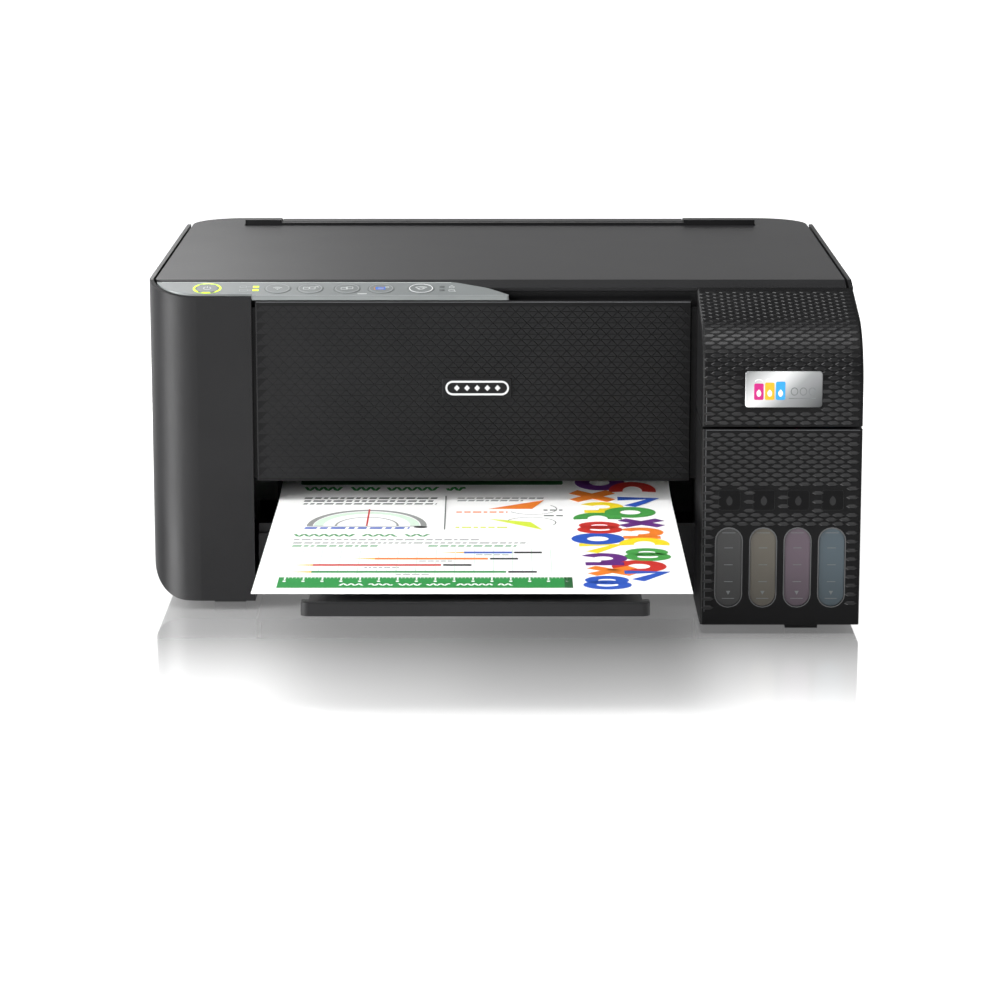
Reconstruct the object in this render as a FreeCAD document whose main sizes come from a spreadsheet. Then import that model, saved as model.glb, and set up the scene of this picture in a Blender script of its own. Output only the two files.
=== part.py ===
# Ink-tank printer with a flatbed scanner: a parametric assembly of separate pieces, in millimetres.
# Frame: x to the right, y to the back, z up; the origin is the middle of the case's footprint.
import FreeCAD, Part
import math
import os
import re

import Sketcher
from FreeCAD import Placement, Rotation, Vector

doc = FreeCAD.newDocument("InkTankPrinter")

SIZES = (
    ("body_width", 375, "over the two side cases"),
    ("body_depth", 347, "from the tank front to the rear case"),
    ("case_top", 176, "rim of the side cases and top of the document cover"),
    ("lug_top", 179, "top of the rear feed housing"),
    ("lug_flat", 9.5, "level part of the housing's top"),
    ("lug_fall", 6, "the housing's top slopes down this far to the back"),
    ("foot_height", 5, "ground to the bottom of the case"),
    ("foot_side", 17, "square rubber foot"),
    ("case_wall", 2.1, "wall of the cases"),
    ("lid_gap", 1.4, "between the scanner unit and the side cases"),
    ("seam", 1.2, "between fixed covers and the pieces beside them"),
    ("play", 0.4, "clearance of sliding pieces"),
    ("pin_play", 0.05, "radial clearance on pins and shafts"),
    ("front_setback", 53.5, "main front behind the tank front"),
    ("tank_width", 83, "tank unit"),
    ("left_case_width", 56, "front face of the left case"),
    ("front_corner", 27, "front left corner in plan"),
    ("rear_corner", 32, "rear corners in plan"),
    ("belly_radius", 19, "lower left edge"),
    ("panel_tilt", 14, "slope of the front of the top, in degrees"),
    ("slope_run", 22, "the slope starts this far behind the main front"),
    ("rim_drop", 1.1, "front rim below the control panel"),
    ("rim_rear", 37.5, "the side rim ends this far before the back"),
    ("rear_drop", 19, "rear corners below the rim, clear of the cover's swing"),
    ("strip_depth", 18.5, "control panel, front to back"),
    ("strip_tip", 190.5, "length of the control panel"),
    ("strip_taper", 31, "length of its tapering end"),
    ("cover_thickness", 4.4, "document cover"),
    ("cover_corner", 29, "rear corners of the cover"),
    ("frame_thickness", 3, "frame around the scanner glass"),
    ("scanner_depth", 22.2, "scanner case, floor to its rim"),
    ("glass_length", 297, "window along x"),
    ("glass_width", 216, "window along y"),
    ("glass_thickness", 1.8, "scanner glass"),
    ("hinge_height", 168, "axis of the scanner unit and the cover"),
    ("hinge_inset", 12.5, "the same axis, ahead of the back"),
    ("hinge_radius", 3.2, "hinge knuckles"),
    ("hinge_pin", 1.5, "radius of the hinge pins"),
    ("feed_width", 305, "rear feed housing"),
    ("feed_depth", 41, "rear feed housing, ahead of the back"),
    ("feed_notch", 44, "scanner unit's rear edge ahead of the back"),
    ("panel_left", 57.9, "front panel's left edge from the case's left side"),
    ("panel_gap", 3.2, "front panel to the tank unit"),
    ("panel_bottom", 70.5, "lower edge of the front panel"),
    ("panel_top", 167.6, "upper edge of the front panel"),
    ("panel_thickness", 3, "front panel"),
    ("tank_seam", 109, "top of the tank unit's fixed front"),
    ("tank_round", 35.5, "radius over the tank cover's brow"),
    ("tank_edge", 1.6, "rounding of the tank unit's outer edges"),
    ("bottle_pitch", 17.87, "from one ink tank to the next"),
    ("bottle_width", 16.4, "one ink tank"),
    ("bottle_first", 14.5, "first tank's middle from the unit's left side"),
    ("bottle_depth", 58, "ink tank, front to back"),
    ("bottle_top", 100, "top of the ink tanks"),
    ("bottle_wall", 1.2, "wall of the ink tanks"),
    ("window_width", 13.8, "level window"),
    ("window_bottom", 14.6, "level window"),
    ("window_top", 56.7, "level window"),
    ("neck_radius", 6, "filler neck, outside"),
    ("neck_bore", 4.5, "filler neck, inside"),
    ("neck_top", 112, "rim of the filler necks"),
    ("neck_setback", 31.5, "filler necks behind the tank front"),
    ("cap_length", 26, "tank cap, front to back"),
    ("cap_width", 14.4, "tank cap"),
    ("cap_thickness", 3, "tank cap"),
    ("cap_pin", 1.2, "radius of the caps' hinge rod"),
    ("tray_width", 166.5, "output tray"),
    ("tray_left", -95, "left edge of the output tray"),
    ("tray_bottom", 48, "underside of the output tray"),
    ("tray_height", 7, "output tray"),
    ("tray_length", 123.5, "sleeve of the output tray"),
    ("tray_reach", 101.5, "the sleeve's front ahead of the main front"),
    ("extension_reach", 211, "the extension's front ahead of the main front"),
    ("extension_length", 109, "tray extension"),
    ("sheet_width", 210, "sheet of paper"),
    ("sheet_length", 297, "sheet of paper"),
    ("sheet_left", -118.3, "left edge of the sheet"),
    ("sheet_height", 59, "sheet over the tray"),
    ("sheet_thickness", 0.3, "sheet of paper, card stock"),
    ("path_height", 65, "paper path through the rollers"),
    ("feed_radius", 5.3, "paper feed roller"),
    ("eject_radius", 4.3, "eject roller"),
    ("star_radius", 5.2, "star wheels"),
    ("roller_height", 60.3, "axis of the feed and eject rollers"),
    ("feed_y", 40, "axis of the feed roller"),
    ("shaft", 2.5, "radius of the roller shafts"),
    ("gear_module", 1, "roller gears"),
    ("feed_teeth", 40, "gear on the feed roller"),
    ("transfer_teeth", 50, "gear between the rollers"),
    ("eject_teeth", 30, "gear on the eject roller"),
    ("gear_face", 3.2, "width of the gears"),
    ("frame_half", 177, "inner frame, middle to its side plates"),
    ("plate_thickness", 2, "side plates of the inner frame"),
    ("rail_top", 118, "carriage rail"),
    ("belt_y", 44, "line of the carriage pulleys"),
    ("belt_half", 165, "middle to a carriage pulley"),
    ("belt_height", 102, "middle of the carriage belt"),
    ("pulley_radius", 6, "carriage pulleys"),
    ("carriage_width", 56, "print head carriage"),
    ("carriage_home", 144, "carriage's middle when it is parked"),
    ("button_radius", 6.85, "control buttons"),
)

sheet = doc.addObject("Spreadsheet::Sheet", "Dims")
for row, (alias, size, meaning) in enumerate(SIZES, start=1):
    sheet.set(f"A{row}", alias)
    sheet.set(f"B{row}", str(size))
    sheet.set(f"C{row}", meaning)
    sheet.setAlias(f"B{row}", alias)
doc.recompute()


def bound(text):
    """An expression in which every name is read from the sheet."""
    return re.sub(r"\b([a-z]\w*)\b(?!\()", r"Dims.\1", str(text))


def value(text):
    """The expression's present value."""
    result = sheet.evalExpression(bound(text))
    return float(getattr(result, "Value", result))


def bind(item, prop, text):
    item.setExpression(prop, bound(text))


# Places that follow from the driving dimensions.
half = "(body_width / 2)"
rear = "(body_depth / 2)"
front = "(front_setback - body_depth / 2)"
tank_front = "(-body_depth / 2)"
tank_left = "(body_width / 2 - tank_width)"
wall_in = "(body_width / 2 - case_wall)"
back_in = "(body_depth / 2 - case_wall)"
lid_half = "(body_width / 2 - case_wall - lid_gap)"
case_inner_x = "(left_case_width - body_width / 2)"
slope_y = f"({front} + slope_run)"
hinge_y = "(body_depth / 2 - hinge_inset)"
strip_rear = f"({front} + strip_depth)"
cover_front = f"({front} + 11)"
unit_front = f"({cover_front} - lid_gap / 4)"
scanner_rim = "(hinge_height + 0.2)"
scanner_bottom = "(hinge_height + 0.2 - scanner_depth)"
scanner_rear = "(body_depth / 2 - feed_notch - 3)"
cover_rear = "(body_depth / 2 - feed_notch)"
cover_bottom = "(case_top - cover_thickness)"
base_top = "(foot_height + case_wall + 2.5)"
feed_half = "(feed_width / 2)"
feed_front = "(body_depth / 2 - feed_depth)"
slot_left = "(sheet_left - 12.7)"
slot_right = "(sheet_left + sheet_width + 18.3)"
transfer_y = "(feed_y - gear_module * (feed_teeth + transfer_teeth) / 2)"
eject_y = "(feed_y - gear_module * (feed_teeth + 2 * transfer_teeth + eject_teeth) / 2)"
tray_right = "(tray_left + tray_width)"
tray_top = "(tray_bottom + tray_height)"
cap_axis_y = f"({tank_front} + neck_setback + 20)"
cap_axis_z = "(neck_top + 1.2)"
bottles = [f"({tank_left} + bottle_first + {i} * bottle_pitch)" for i in range(4)]
inks = ("black", "yellow", "magenta", "cyan")


def slope(y, drop=0):
    """Height of the sloping front of the top at the depth y."""
    return f"(case_top - {drop} - ({slope_y} - ({y})) * tan(panel_tilt))"


def add(kind, name):
    return doc.addObject(kind, name)


def block(name, x, y, z):
    """A box between two places along each axis."""
    box = add("Part::Box", name)
    spans = (("Length", "x", x), ("Width", "y", y), ("Height", "z", z))
    for side, axis, (low, high) in spans:
        bind(box, side, f"({high}) - ({low})")
        bind(box, f".Placement.Base.{axis}", low)
    return box


turns = {
    "x": Rotation(Vector(0, 1, 0), 90),
    "y": Rotation(Vector(1, 0, 0), -90),
    "z": Rotation(),
}


def rod(name, axis, centre, radius, span):
    """A round bar along an axis; centre gives its two other coordinates in x, y, z order."""
    bar = add("Part::Cylinder", name)
    bar.Placement = Placement(Vector(), turns[axis])
    bind(bar, "Radius", radius)
    bind(bar, "Height", f"({span[1]}) - ({span[0]})")
    places = dict(zip([a for a in "xyz" if a != axis], centre))
    places[axis] = span[0]
    for letter, place in places.items():
        bind(bar, f".Placement.Base.{letter}", place)
    return bar


def join(name, *pieces):
    whole = add("Part::MultiFuse", name)
    whole.Shapes = list(pieces)
    return whole


def common(name, *pieces):
    shared = add("Part::MultiCommon", name)
    shared.Shapes = list(pieces)
    return shared


def cut(name, base, *tools):
    result = add("Part::Cut", name)
    result.Base = base
    result.Tool = tools[0] if len(tools) == 1 else join(name + "_tools", *tools)
    return result


def group(name, *pieces):
    """Separate solids kept together in one piece."""
    together = add("Part::Compound", name)
    together.Links = list(pieces)
    return together


def outline(sketch, corners):
    """A closed outline of straight lines through the corners, each tied to its expressions."""
    points = [Vector(value(x), value(y), 0) for x, y, *_ in corners]
    count = len(points)
    for i in range(count):
        sketch.addGeometry(Part.LineSegment(points[i], points[(i + 1) % count]), False)
    for i, corner in enumerate(corners):
        sketch.addConstraint(Sketcher.Constraint("Coincident", (i - 1) % count, 2, i, 1))
        places = (("DistanceX", points[i].x, corner[0]), ("DistanceY", points[i].y, corner[1]))
        for kind, size, text in places:
            index = sketch.addConstraint(Sketcher.Constraint(kind, -1, 1, i, 1, size))
            bind(sketch, f"Constraints[{index}]", text)


normals = {"XY": ("XY_Plane", 1), "XZ": ("XZ_Plane", -1), "YZ": ("YZ_Plane", 1)}


def drawn(body, plane, corners, span):
    """A sketch in one of the body's own planes, at the near end of the span along its normal."""
    role, sense = normals[plane]
    sketch = body.newObject("Sketcher::SketchObject", body.Name + "_sketch")
    origin = next(f for f in body.Origin.OriginFeatures if f.Role == role)
    sketch.AttachmentSupport = [(origin, "")]
    sketch.MapMode = "FlatFace"
    bind(sketch, ".AttachmentOffset.Base.z", span[0] if sense > 0 else f"-({span[1]})")
    outline(sketch, corners)
    return sketch


def rounded(body, radius, wanted):
    """Rounds the edges of a body's last feature for which wanted(edge) is true."""
    doc.recompute()
    base = body.Tip
    chosen = [f"Edge{i}" for i, edge in enumerate(base.Shape.Edges, 1) if wanted(edge)]
    if not chosen:
        raise ValueError(f"{body.Name}: no edge to round")
    feature = body.newObject("PartDesign::Fillet", body.Name + "_fillet")
    feature.Base = (base, chosen)
    bind(feature, "Radius", radius)
    return body


def lies_at(edge, axis, place):
    """Whether a whole edge lies in the plane axis = place."""
    box = edge.BoundBox
    low, high = getattr(box, axis.upper() + "Min"), getattr(box, axis.upper() + "Max")
    return abs(low - place) < 0.01 and abs(high - place) < 0.01


def pad(name, plane, corners, span):
    """A body padded from an outline of (x, y) or (x, y, radius), between two places on the normal."""
    body = add("PartDesign::Body", name)
    sketch = drawn(body, plane, corners, span)
    solid = body.newObject("PartDesign::Pad", name + "_pad")
    solid.Profile = sketch
    bind(solid, "Length", f"({span[1]}) - ({span[0]})")
    across, up = plane.lower()
    for radius in sorted({corner[2] for corner in corners if len(corner) == 3}):
        places = [(value(c[0]), value(c[1])) for c in corners if len(c) == 3 and c[2] == radius]
        rounded(body, radius, lambda edge: any(
            lies_at(edge, across, a) and lies_at(edge, up, b) for a, b in places))
    return body


# ---------------------------------------------------------------- cases

def rim_profile(drop, start):
    """Side view of a case's top edge, seen along x."""
    return [
        (start, "foot_height - 1"),
        (rear, "foot_height - 1"),
        (rear, "case_top - rear_drop"),
        (f"{rear} - rim_rear + 4", "case_top - rear_drop"),
        (f"{rear} - rim_rear", "case_top"),
        (slope_y, "case_top"),
        (start, slope(start, drop)),
    ]


def hinge_post(name, side):
    """A fixed post with the hinge pin that carries the scanner unit and the cover."""
    inner = f"({feed_half} + 1.5)"
    outer = f"({feed_half} + 5)"
    low, high = (inner, outer) if side > 0 else (f"-{outer}", f"-{inner}")
    pin_end = f"({feed_half} + 12.5)"
    pin = (low, pin_end) if side > 0 else (f"-{pin_end}", high)
    y_span = (f"{hinge_y} - hinge_radius", f"{hinge_y} + 0.6")
    return (
        block(name + "_post", (low, high), y_span, (f"{scanner_bottom} - 6", "hinge_height")),
        block(name + "_shelf", (low, high), (y_span[0], f"{back_in} + 0.5"),
              (f"{scanner_bottom} - 6", scanner_bottom)),
        rod(name + "_boss", "x", (hinge_y, "hinge_height"), "hinge_radius", (low, high)),
        rod(name + "_pin", "x", (hinge_y, "hinge_height"), "hinge_pin", pin),
    )


def left_side_case():
    plan = pad("left_plan", "XY", [
        (case_inner_x, front),
        (case_inner_x, rear),
        (f"-{half}", rear, "rear_corner"),
        (f"-{half}", front, "front_corner"),
    ], ("foot_height", "case_top"))
    face = pad("left_face", "XZ", [
        (case_inner_x, "foot_height"),
        (case_inner_x, "case_top"),
        (f"-{half}", "case_top"),
        (f"-{half}", "foot_height", "belly_radius"),
    ], (front, rear))
    side = pad("left_rim", "YZ", rim_profile("rim_drop", front), (f"-{half} - 1", case_inner_x))
    hollow_plan = pad("left_hollow_plan", "XY", [
        (f"{case_inner_x} + 5", f"{front} + case_wall"),
        (f"{case_inner_x} + 5", back_in),
        (f"-{wall_in}", back_in, "rear_corner - case_wall"),
        (f"-{wall_in}", f"{front} + case_wall", "front_corner - case_wall"),
    ], ("foot_height", "case_top + 5"))
    hollow_face = pad("left_hollow_face", "XZ", [
        (f"{case_inner_x} + 5", "foot_height + case_wall"),
        (f"{case_inner_x} + 5", "case_top + 5"),
        (f"-{wall_in}", "case_top + 5"),
        (f"-{wall_in}", "foot_height + case_wall", "belly_radius - case_wall"),
    ], (front, rear))
    shell = cut("left_shell", common("left_outer", plan, face, side),
                common("left_inner", hollow_plan, hollow_face))
    return join("left_side_case", shell, *hinge_post("left_hinge", -1))


def right_side_case():
    start = f"({unit_front})"
    inner = f"({half} - left_case_width)"
    plan = pad("right_plan", "XY", [
        (inner, start),
        (half, start),
        (half, rear, "rear_corner"),
        (inner, rear),
    ], ("foot_height", "case_top"))
    side = pad("right_rim", "YZ", rim_profile(0, start), (inner, f"{half} + 1"))
    hollow = pad("right_hollow", "XY", [
        (f"{inner} - 5", f"{start} - 5"),
        (wall_in, f"{start} - 5"),
        (wall_in, back_in, "rear_corner - case_wall"),
        (f"{inner} - 5", back_in),
    ], ("foot_height - 5", "case_top + 5"))
    shell = cut("right_shell", common("right_outer", plan, side), hollow)
    return join("right_side_case", shell, *hinge_post("right_hinge", 1))


socket_x = {"usb": "(-105)", "inlet": "112"}
socket_half = {"usb": "6", "inlet": "12"}
socket_z = {"usb": ("30", "41"), "inlet": ("20", "37")}


def socket_space(name, kind, margin, y):
    """The box of a socket, with a margin all round."""
    x, w, z = socket_x[kind], socket_half[kind], socket_z[kind]
    return block(name, (f"{x} - {w} - {margin}", f"{x} + {w} + {margin}"), y,
                 (f"{z[0]} - {margin}", f"{z[1]} + {margin}"))


def rear_case():
    wall = block("rear_wall", (case_inner_x, f"-{case_inner_x}"), (back_in, rear),
                 ("foot_height", "case_top - 6"))
    y = (f"{back_in} - 1", f"{rear} + 1")
    vents = [
        block(f"rear_vent_{i}", (f"-60 + {i} * 9", f"-60 + {i} * 9 + 3.5"), y, ("60", "92"))
        for i in range(13)
    ]
    return cut("rear_case", wall, socket_space("usb_cutout", "usb", 0.4, y),
               socket_space("inlet_cutout", "inlet", 0.4, y), *vents)


def base_chassis():
    tray_y = (f"{front} + 8", "12")
    rail_z = (base_top, tray_top)
    return join(
        "base_chassis",
        pad("base_plate", "XY", [
            (f"-{half} + belly_radius + 2", f"{front} + 11"), (wall_in, f"{front} + 11"),
            (wall_in, back_in, "rear_corner - case_wall"),
            (f"-{half} + belly_radius + 2", back_in, "rear_corner - case_wall - 9"),
        ], ("foot_height + case_wall", base_top)),
        block("base_lip", (f"-{half} + belly_radius + 2", tank_left), (f"{front} + 8", f"{front} + 11.5"),
              ("foot_height + case_wall", base_top)),
        block("base_sill", (f"-{half} + panel_left", tank_left), (f"{front} + 8", f"{front} + 10.5"),
              (base_top, "tray_bottom - 2")),
        block("base_rail_left", ("tray_left - play - 2.6", "tray_left - play"), tray_y, rail_z),
        block("base_rail_right", (f"{tray_right} + play", f"{tray_right} + play + 2.6"), tray_y, rail_z),
        block("base_shelf", ("tray_left - 2", f"{tray_right} + 2"), tray_y,
              ("tray_bottom - play - 2.4", "tray_bottom - play")),
        block("base_bracket", (f"-{half} + panel_left", f"-{half} + panel_left + 9"),
              (f"{front} + 5", f"{front} + 8.2"), ("26", "41")),
    )


def front_panel():
    left, right = f"(panel_left - {half})", f"({tank_left} - panel_gap)"
    face = pad("panel_face", "XZ", [
        (left, "panel_bottom"),
        (right, "panel_bottom"),
        (right, "panel_top"),
        (left, "panel_top"),
    ], (f"{front} + 1", f"{front} + 1 + panel_thickness"))
    rounded(face, "0.6", lambda e: lies_at(e, "y", value(f"{front} + 1")))
    back = block("panel_back", (f"{case_inner_x} - 4", tank_left),
                 (f"{front} + case_wall", f"{front} + case_wall + 2.5"),
                 ("panel_bottom + 1.5", "panel_top - 3.6"))
    return join("front_panel", face, back)


def front_mark():
    return rounded(pad("front_mark", "XZ", [
        ("-30.5", "115.8", "1"), ("6.3", "115.8", "1"), ("6.3", "126.4", "1"), ("-30.5", "126.4", "1"),
    ], (f"{front} + 0.2", f"{front} + 1")), "0.25",
        lambda e: lies_at(e, "y", value(f"{front} + 0.2")))


def rubber_feet():
    left = f"-{half} + 32.5"
    right = f"{half} - 37.5"
    near, far = f"{front} + 19", f"{rear} - 33.5"
    places = (
        ("left_front", left, near, "foot_height"),
        ("left_rear", left, far, "foot_height"),
        ("right_front", right, f"{tank_front} + 13.5", "foot_height"),
        ("right_rear", right, far, "foot_height + case_wall"),
    )
    return group("rubber_feet", *[
        block("foot_" + name, (x, f"{x} + foot_side"), (y, f"{y} + foot_side"), ("0", top))
        for name, x, y, top in places
    ])


# ---------------------------------------------------------------- tank unit

def pill(name, x, y, width, bottom, top):
    """An upright plate with round ends, seen from the front."""
    side = f"({width}) / 2"
    return pad(name, "XZ", [
        (f"{x} - {side}", bottom, f"{side} - 0.05"),
        (f"{x} + {side}", bottom, f"{side} - 0.05"),
        (f"{x} + {side}", top, f"{side} - 0.05"),
        (f"{x} - {side}", top, f"{side} - 0.05"),
    ], y)


def tank_front_case():
    outer = pad("tank_outer", "XY", [
        (tank_left, tank_front, "tank_edge"),
        (half, tank_front, "tank_edge"),
        (half, f"{unit_front} - 0.1"),
        (tank_left, f"{unit_front} - 0.1"),
    ], ("foot_height", "tank_seam"))
    rounded(outer, "0.6", lambda e: lies_at(e, "z", value("tank_seam")) and e.BoundBox.YMax
            < value(f"{unit_front} - 1"))
    hollow = block("tank_hollow", (f"{tank_left} + case_wall", wall_in),
                   (f"{tank_front} + case_wall", f"{unit_front} + 1"),
                   ("foot_height + case_wall", "tank_seam - case_wall"))
    front_span = (f"{tank_front} - 1", f"{tank_front} + case_wall + 0.5")
    windows = [
        pill(f"window_{i}", x, front_span, "window_width", "window_bottom", "window_top")
        for i, x in enumerate(bottles)
    ]
    neck_holes = [
        rod(f"neck_hole_{i}", "z", (x, f"{tank_front} + neck_setback"), "neck_radius + play",
            ("tank_seam - 5", "tank_seam + 1"))
        for i, x in enumerate(bottles)
    ]
    shell = cut("tank_shell", outer, hollow, *windows, *neck_holes)
    posts = [
        block(f"cap_post_{i}", (f"{x} - 1.1", f"{x} + 1.1"),
              (f"{cap_axis_y} - 2.2", f"{cap_axis_y} + 2.2"), ("tank_seam - 0.5", f"{cap_axis_z} + 2"))
        for i, x in enumerate([f"({bottles[0]} + ({i} - 0.5) * bottle_pitch)" for i in range(5)])
    ]
    hinge_rod = rod("cap_rod", "x", (cap_axis_y, cap_axis_z), "cap_pin",
                    (f"{bottles[0]} - bottle_pitch / 2", f"{bottles[3]} + bottle_pitch / 2"))
    return join("tank_front_case", shell, hinge_rod, *posts)


def ink_tanks():
    made = []
    for i, x in enumerate(bottles):
        side = "bottle_width / 2"
        near = f"{tank_front} + case_wall + play"
        far = f"{near} + bottle_depth"
        neck_at = (x, f"{tank_front} + neck_setback")
        body = block(f"bottle_{i}", (f"{x} - {side}", f"{x} + {side}"), (near, far),
                     ("foot_height + case_wall", "bottle_top"))
        level = pill(f"bottle_boss_{i}", x, (f"{tank_front} + 0.6", f"{near} + 0.5"),
                     "window_width - 2 * play", "window_bottom + play", "window_top - play")
        neck = rod(f"bottle_neck_{i}", "z", neck_at, "neck_radius", ("bottle_top - 1", "neck_top"))
        space = block(f"bottle_space_{i}", (f"{x} - {side} + bottle_wall", f"{x} + {side} - bottle_wall"),
                      (f"{near} + bottle_wall", f"{far} - bottle_wall"),
                      ("foot_height + case_wall + bottle_wall", "bottle_top - bottle_wall"))
        bore = rod(f"bottle_bore_{i}", "z", neck_at, "neck_bore", ("bottle_top - 3", "neck_top + 1"))
        made.append(cut(f"bottle_whole_{i}", join(f"bottle_solid_{i}", body, level, neck), space, bore))
    return group("ink_tanks", *made)


def tank_cap(ink, x):
    neck_y = f"({tank_front} + neck_setback)"
    low = "neck_top + 0.4"
    side = "cap_width / 2"
    plate = pad(f"cap_plate_{ink}", "XY", [
        (f"{x} - {side}", f"{neck_y} + 12 - cap_length", "3"),
        (f"{x} + {side}", f"{neck_y} + 12 - cap_length", "3"),
        (f"{x} + {side}", f"{neck_y} + 12"),
        (f"{x} - {side}", f"{neck_y} + 12"),
    ], (low, f"{low} + cap_thickness"))
    barrel_span = (f"{x} - {side} + 0.4", f"{x} + {side} - 0.4")
    tongue = block(f"cap_tongue_{ink}", barrel_span, (f"{neck_y} + 11", cap_axis_y),
                   (low, f"{low} + 2"))
    barrel = rod(f"cap_barrel_{ink}", "x", (cap_axis_y, cap_axis_z), "cap_pin + 1.3", barrel_span)
    plug = rod(f"cap_plug_{ink}", "z", (x, neck_y), "neck_bore - 0.9", ("neck_top - 1.8", f"{low} + 1"))
    bore = rod(f"cap_bore_{ink}", "x", (cap_axis_y, cap_axis_z), "cap_pin + pin_play",
               (f"{x} - cap_width", f"{x} + cap_width"))
    return cut(f"tank_cap_{ink}", join(f"cap_solid_{ink}", plate, tongue, barrel, plug), bore)


badge_box = ((f"{tank_left} + 21.9", f"{tank_left} + 61.7"), ("120.4", "139.1"))


def tank_cover():
    bottom = "(tank_seam + seam)"
    start = f"({unit_front} - 0.4)"
    brow = f"{tank_front}"
    outer = pad("cover_brow", "YZ", [
        (start, bottom),
        (start, slope(start)),
        (brow, slope(brow), "tank_round"),
        (brow, bottom),
    ], (tank_left, half))
    rounded(outer, "tank_edge", lambda e: (
        (lies_at(e, "x", value(tank_left)) or lies_at(e, "x", value(half)))
        and not lies_at(e, "z", value(bottom)) and not lies_at(e, "y", value(start))))
    inner_front = f"({brow} + case_wall)"
    hollow = pad("cover_brow_hollow", "YZ", [
        (f"{start} + 5", f"{bottom} - 5"),
        (f"{start} + 5", slope(f"{start} + 5", "2.2")),
        (inner_front, slope(inner_front, "2.2"), "tank_round - case_wall"),
        (inner_front, f"{bottom} - 5"),
    ], (f"{tank_left} + case_wall", wall_in))
    recess = block("badge_recess", (f"{badge_box[0][0]} - 0.15", f"{badge_box[0][1]} + 0.15"),
                   (f"{brow} - 1", f"{brow} + 1.3"),
                   (f"{badge_box[1][0]} - 0.15", f"{badge_box[1][1]} + 0.15"))
    return cut("tank_cover", outer, hollow, recess)


def tank_badge():
    (x0, x1), (z0, z1) = badge_box
    return rounded(pad("tank_badge", "XZ", [
        (x0, z0, "1.5"), (x1, z0, "1.5"), (x1, z1, "1.5"), (x0, z1, "1.5"),
    ], (f"{tank_front} - 0.5", f"{tank_front} + 1.3")), "0.35",
        lambda e: lies_at(e, "y", value(f"{tank_front} - 0.5")))


# ---------------------------------------------------------------- paper output

def output_tray():
    near = f"({front} - tray_reach)"
    outer = pad("tray_sleeve", "XY", [
        ("tray_left", near, "3"), (tray_right, near, "3"),
        (tray_right, f"{near} + tray_length"), ("tray_left", f"{near} + tray_length"),
    ], ("tray_bottom", tray_top))
    slot = block("tray_slot", ("tray_left + 3", f"{tray_right} - 3"),
                 (f"{near} - 1", f"{near} + tray_length - 3"), ("tray_bottom + 1.6", f"{tray_top} - 1.8"))
    return cut("output_tray", outer, slot)


def tray_extension():
    near = f"({front} - extension_reach)"
    plate = block("extension_plate", ("tray_left + 3 + play", f"{tray_right} - 3 - play"),
                  (f"{near} + 3", f"{near} + extension_length"),
                  ("tray_bottom + 1.6 + play", f"{tray_top} - 1.8 - play"))
    lip = pad("extension_lip", "XY", [
        ("tray_left", near, "4"), (tray_right, near, "4"),
        (tray_right, f"{near} + 6"), ("tray_left", f"{near} + 6"),
    ], ("tray_bottom", tray_top))
    rounded(lip, "1.2", lambda e: lies_at(e, "z", value(tray_top)) and e.BoundBox.YMax < value(f"{near} + 5"))
    return join("tray_extension", plate, lip)


def printed_sheet():
    near = f"({front} - extension_reach)"
    far = f"({near} + sheet_length)"
    rise = "(sheet_thickness)"
    under = [
        (near, "sheet_height"),
        ("-124", "sheet_height"),
        ("-112", "sheet_height + 0.6"),
        ("-72", "path_height - 0.6"),
        ("-60", "path_height"),
        (far, "path_height"),
    ]
    over = [(y, f"{z} + sheet_thickness") for y, z in reversed(under)]
    return pad("printed_sheet", "YZ", under + over, ("sheet_left", "sheet_left + sheet_width"))


# ---------------------------------------------------------------- print engine

def main_frame():
    depth = ("-60", "80")
    low = f"({base_top} + 12)"
    plates = [
        block(f"frame_{name}", x, depth, (low, "rail_top"))
        for name, x in (("left", ("-frame_half - plate_thickness", "-frame_half")),
                        ("right", ("frame_half", "frame_half + plate_thickness")))
    ]
    beam = block("frame_beam", ("-frame_half - 1", "frame_half + 1"), ("66", "68"), (low, f"{low} + 20"))
    feet = [
        block(f"frame_foot_{name}", (f"{x} - 8", f"{x} + 8"), ("66", "76"), (base_top, f"{low} + 1"))
        for name, x in (("left", "-150"), ("right", "150"))
    ]
    holes = [
        rod(f"frame_hole_{name}", "x", (y, "roller_height"), "shaft + pin_play",
            ("-frame_half - 5", "frame_half + 5"))
        for name, y in (("feed", "feed_y"), ("eject", eject_y))
    ]
    return cut("main_frame", join("frame_solid", beam, *plates, *feet), *holes)


def carriage_rail():
    return pad("carriage_rail", "YZ", [
        ("belt_y - 4", "rail_top - 2"), ("belt_y + 14", "rail_top - 2"), ("belt_y + 14", "rail_top - 38"),
        ("belt_y + 16", "rail_top - 38"), ("belt_y + 16", "rail_top", "1"), ("belt_y - 4", "rail_top"),
    ], ("-frame_half", "frame_half"))


def platen():
    ribs = [
        block(f"platen_rib_{i}", (f"-118 + {i} * 12", f"-118 + {i} * 12 + 1.2"), ("-29", "29"),
              ("path_height - 1.2", "path_height - 0.3"))
        for i in range(20)
    ]
    legs = [
        block(f"platen_leg_{name}", (x, f"{x} + 4"), ("-20", "20"), (base_top, "path_height - 5"))
        for name, x in (("left", "-125"), ("right", "111"))
    ]
    return join("platen", block("platen_deck", ("-125", "115"), ("-30", "30"),
                                ("path_height - 6", "path_height - 1")), *ribs, *legs)


def roller(name, y, radius, span, sleeves):
    """A shaft through both side plates with rubber sleeves along it."""
    shaft = rod(name + "_shaft", "x", (y, "roller_height"), "shaft",
                ("-frame_half - plate_thickness - 1 - gear_face", "frame_half + plate_thickness"))
    pitch = (span[1] - span[0]) / sleeves
    rubber = [
        rod(f"{name}_sleeve_{i}", "x", (y, "roller_height"), radius,
            (span[0] + i * pitch, span[0] + (i + 0.7) * pitch))
        for i in range(sleeves)
    ]
    return join(name, shaft, *rubber)


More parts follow.
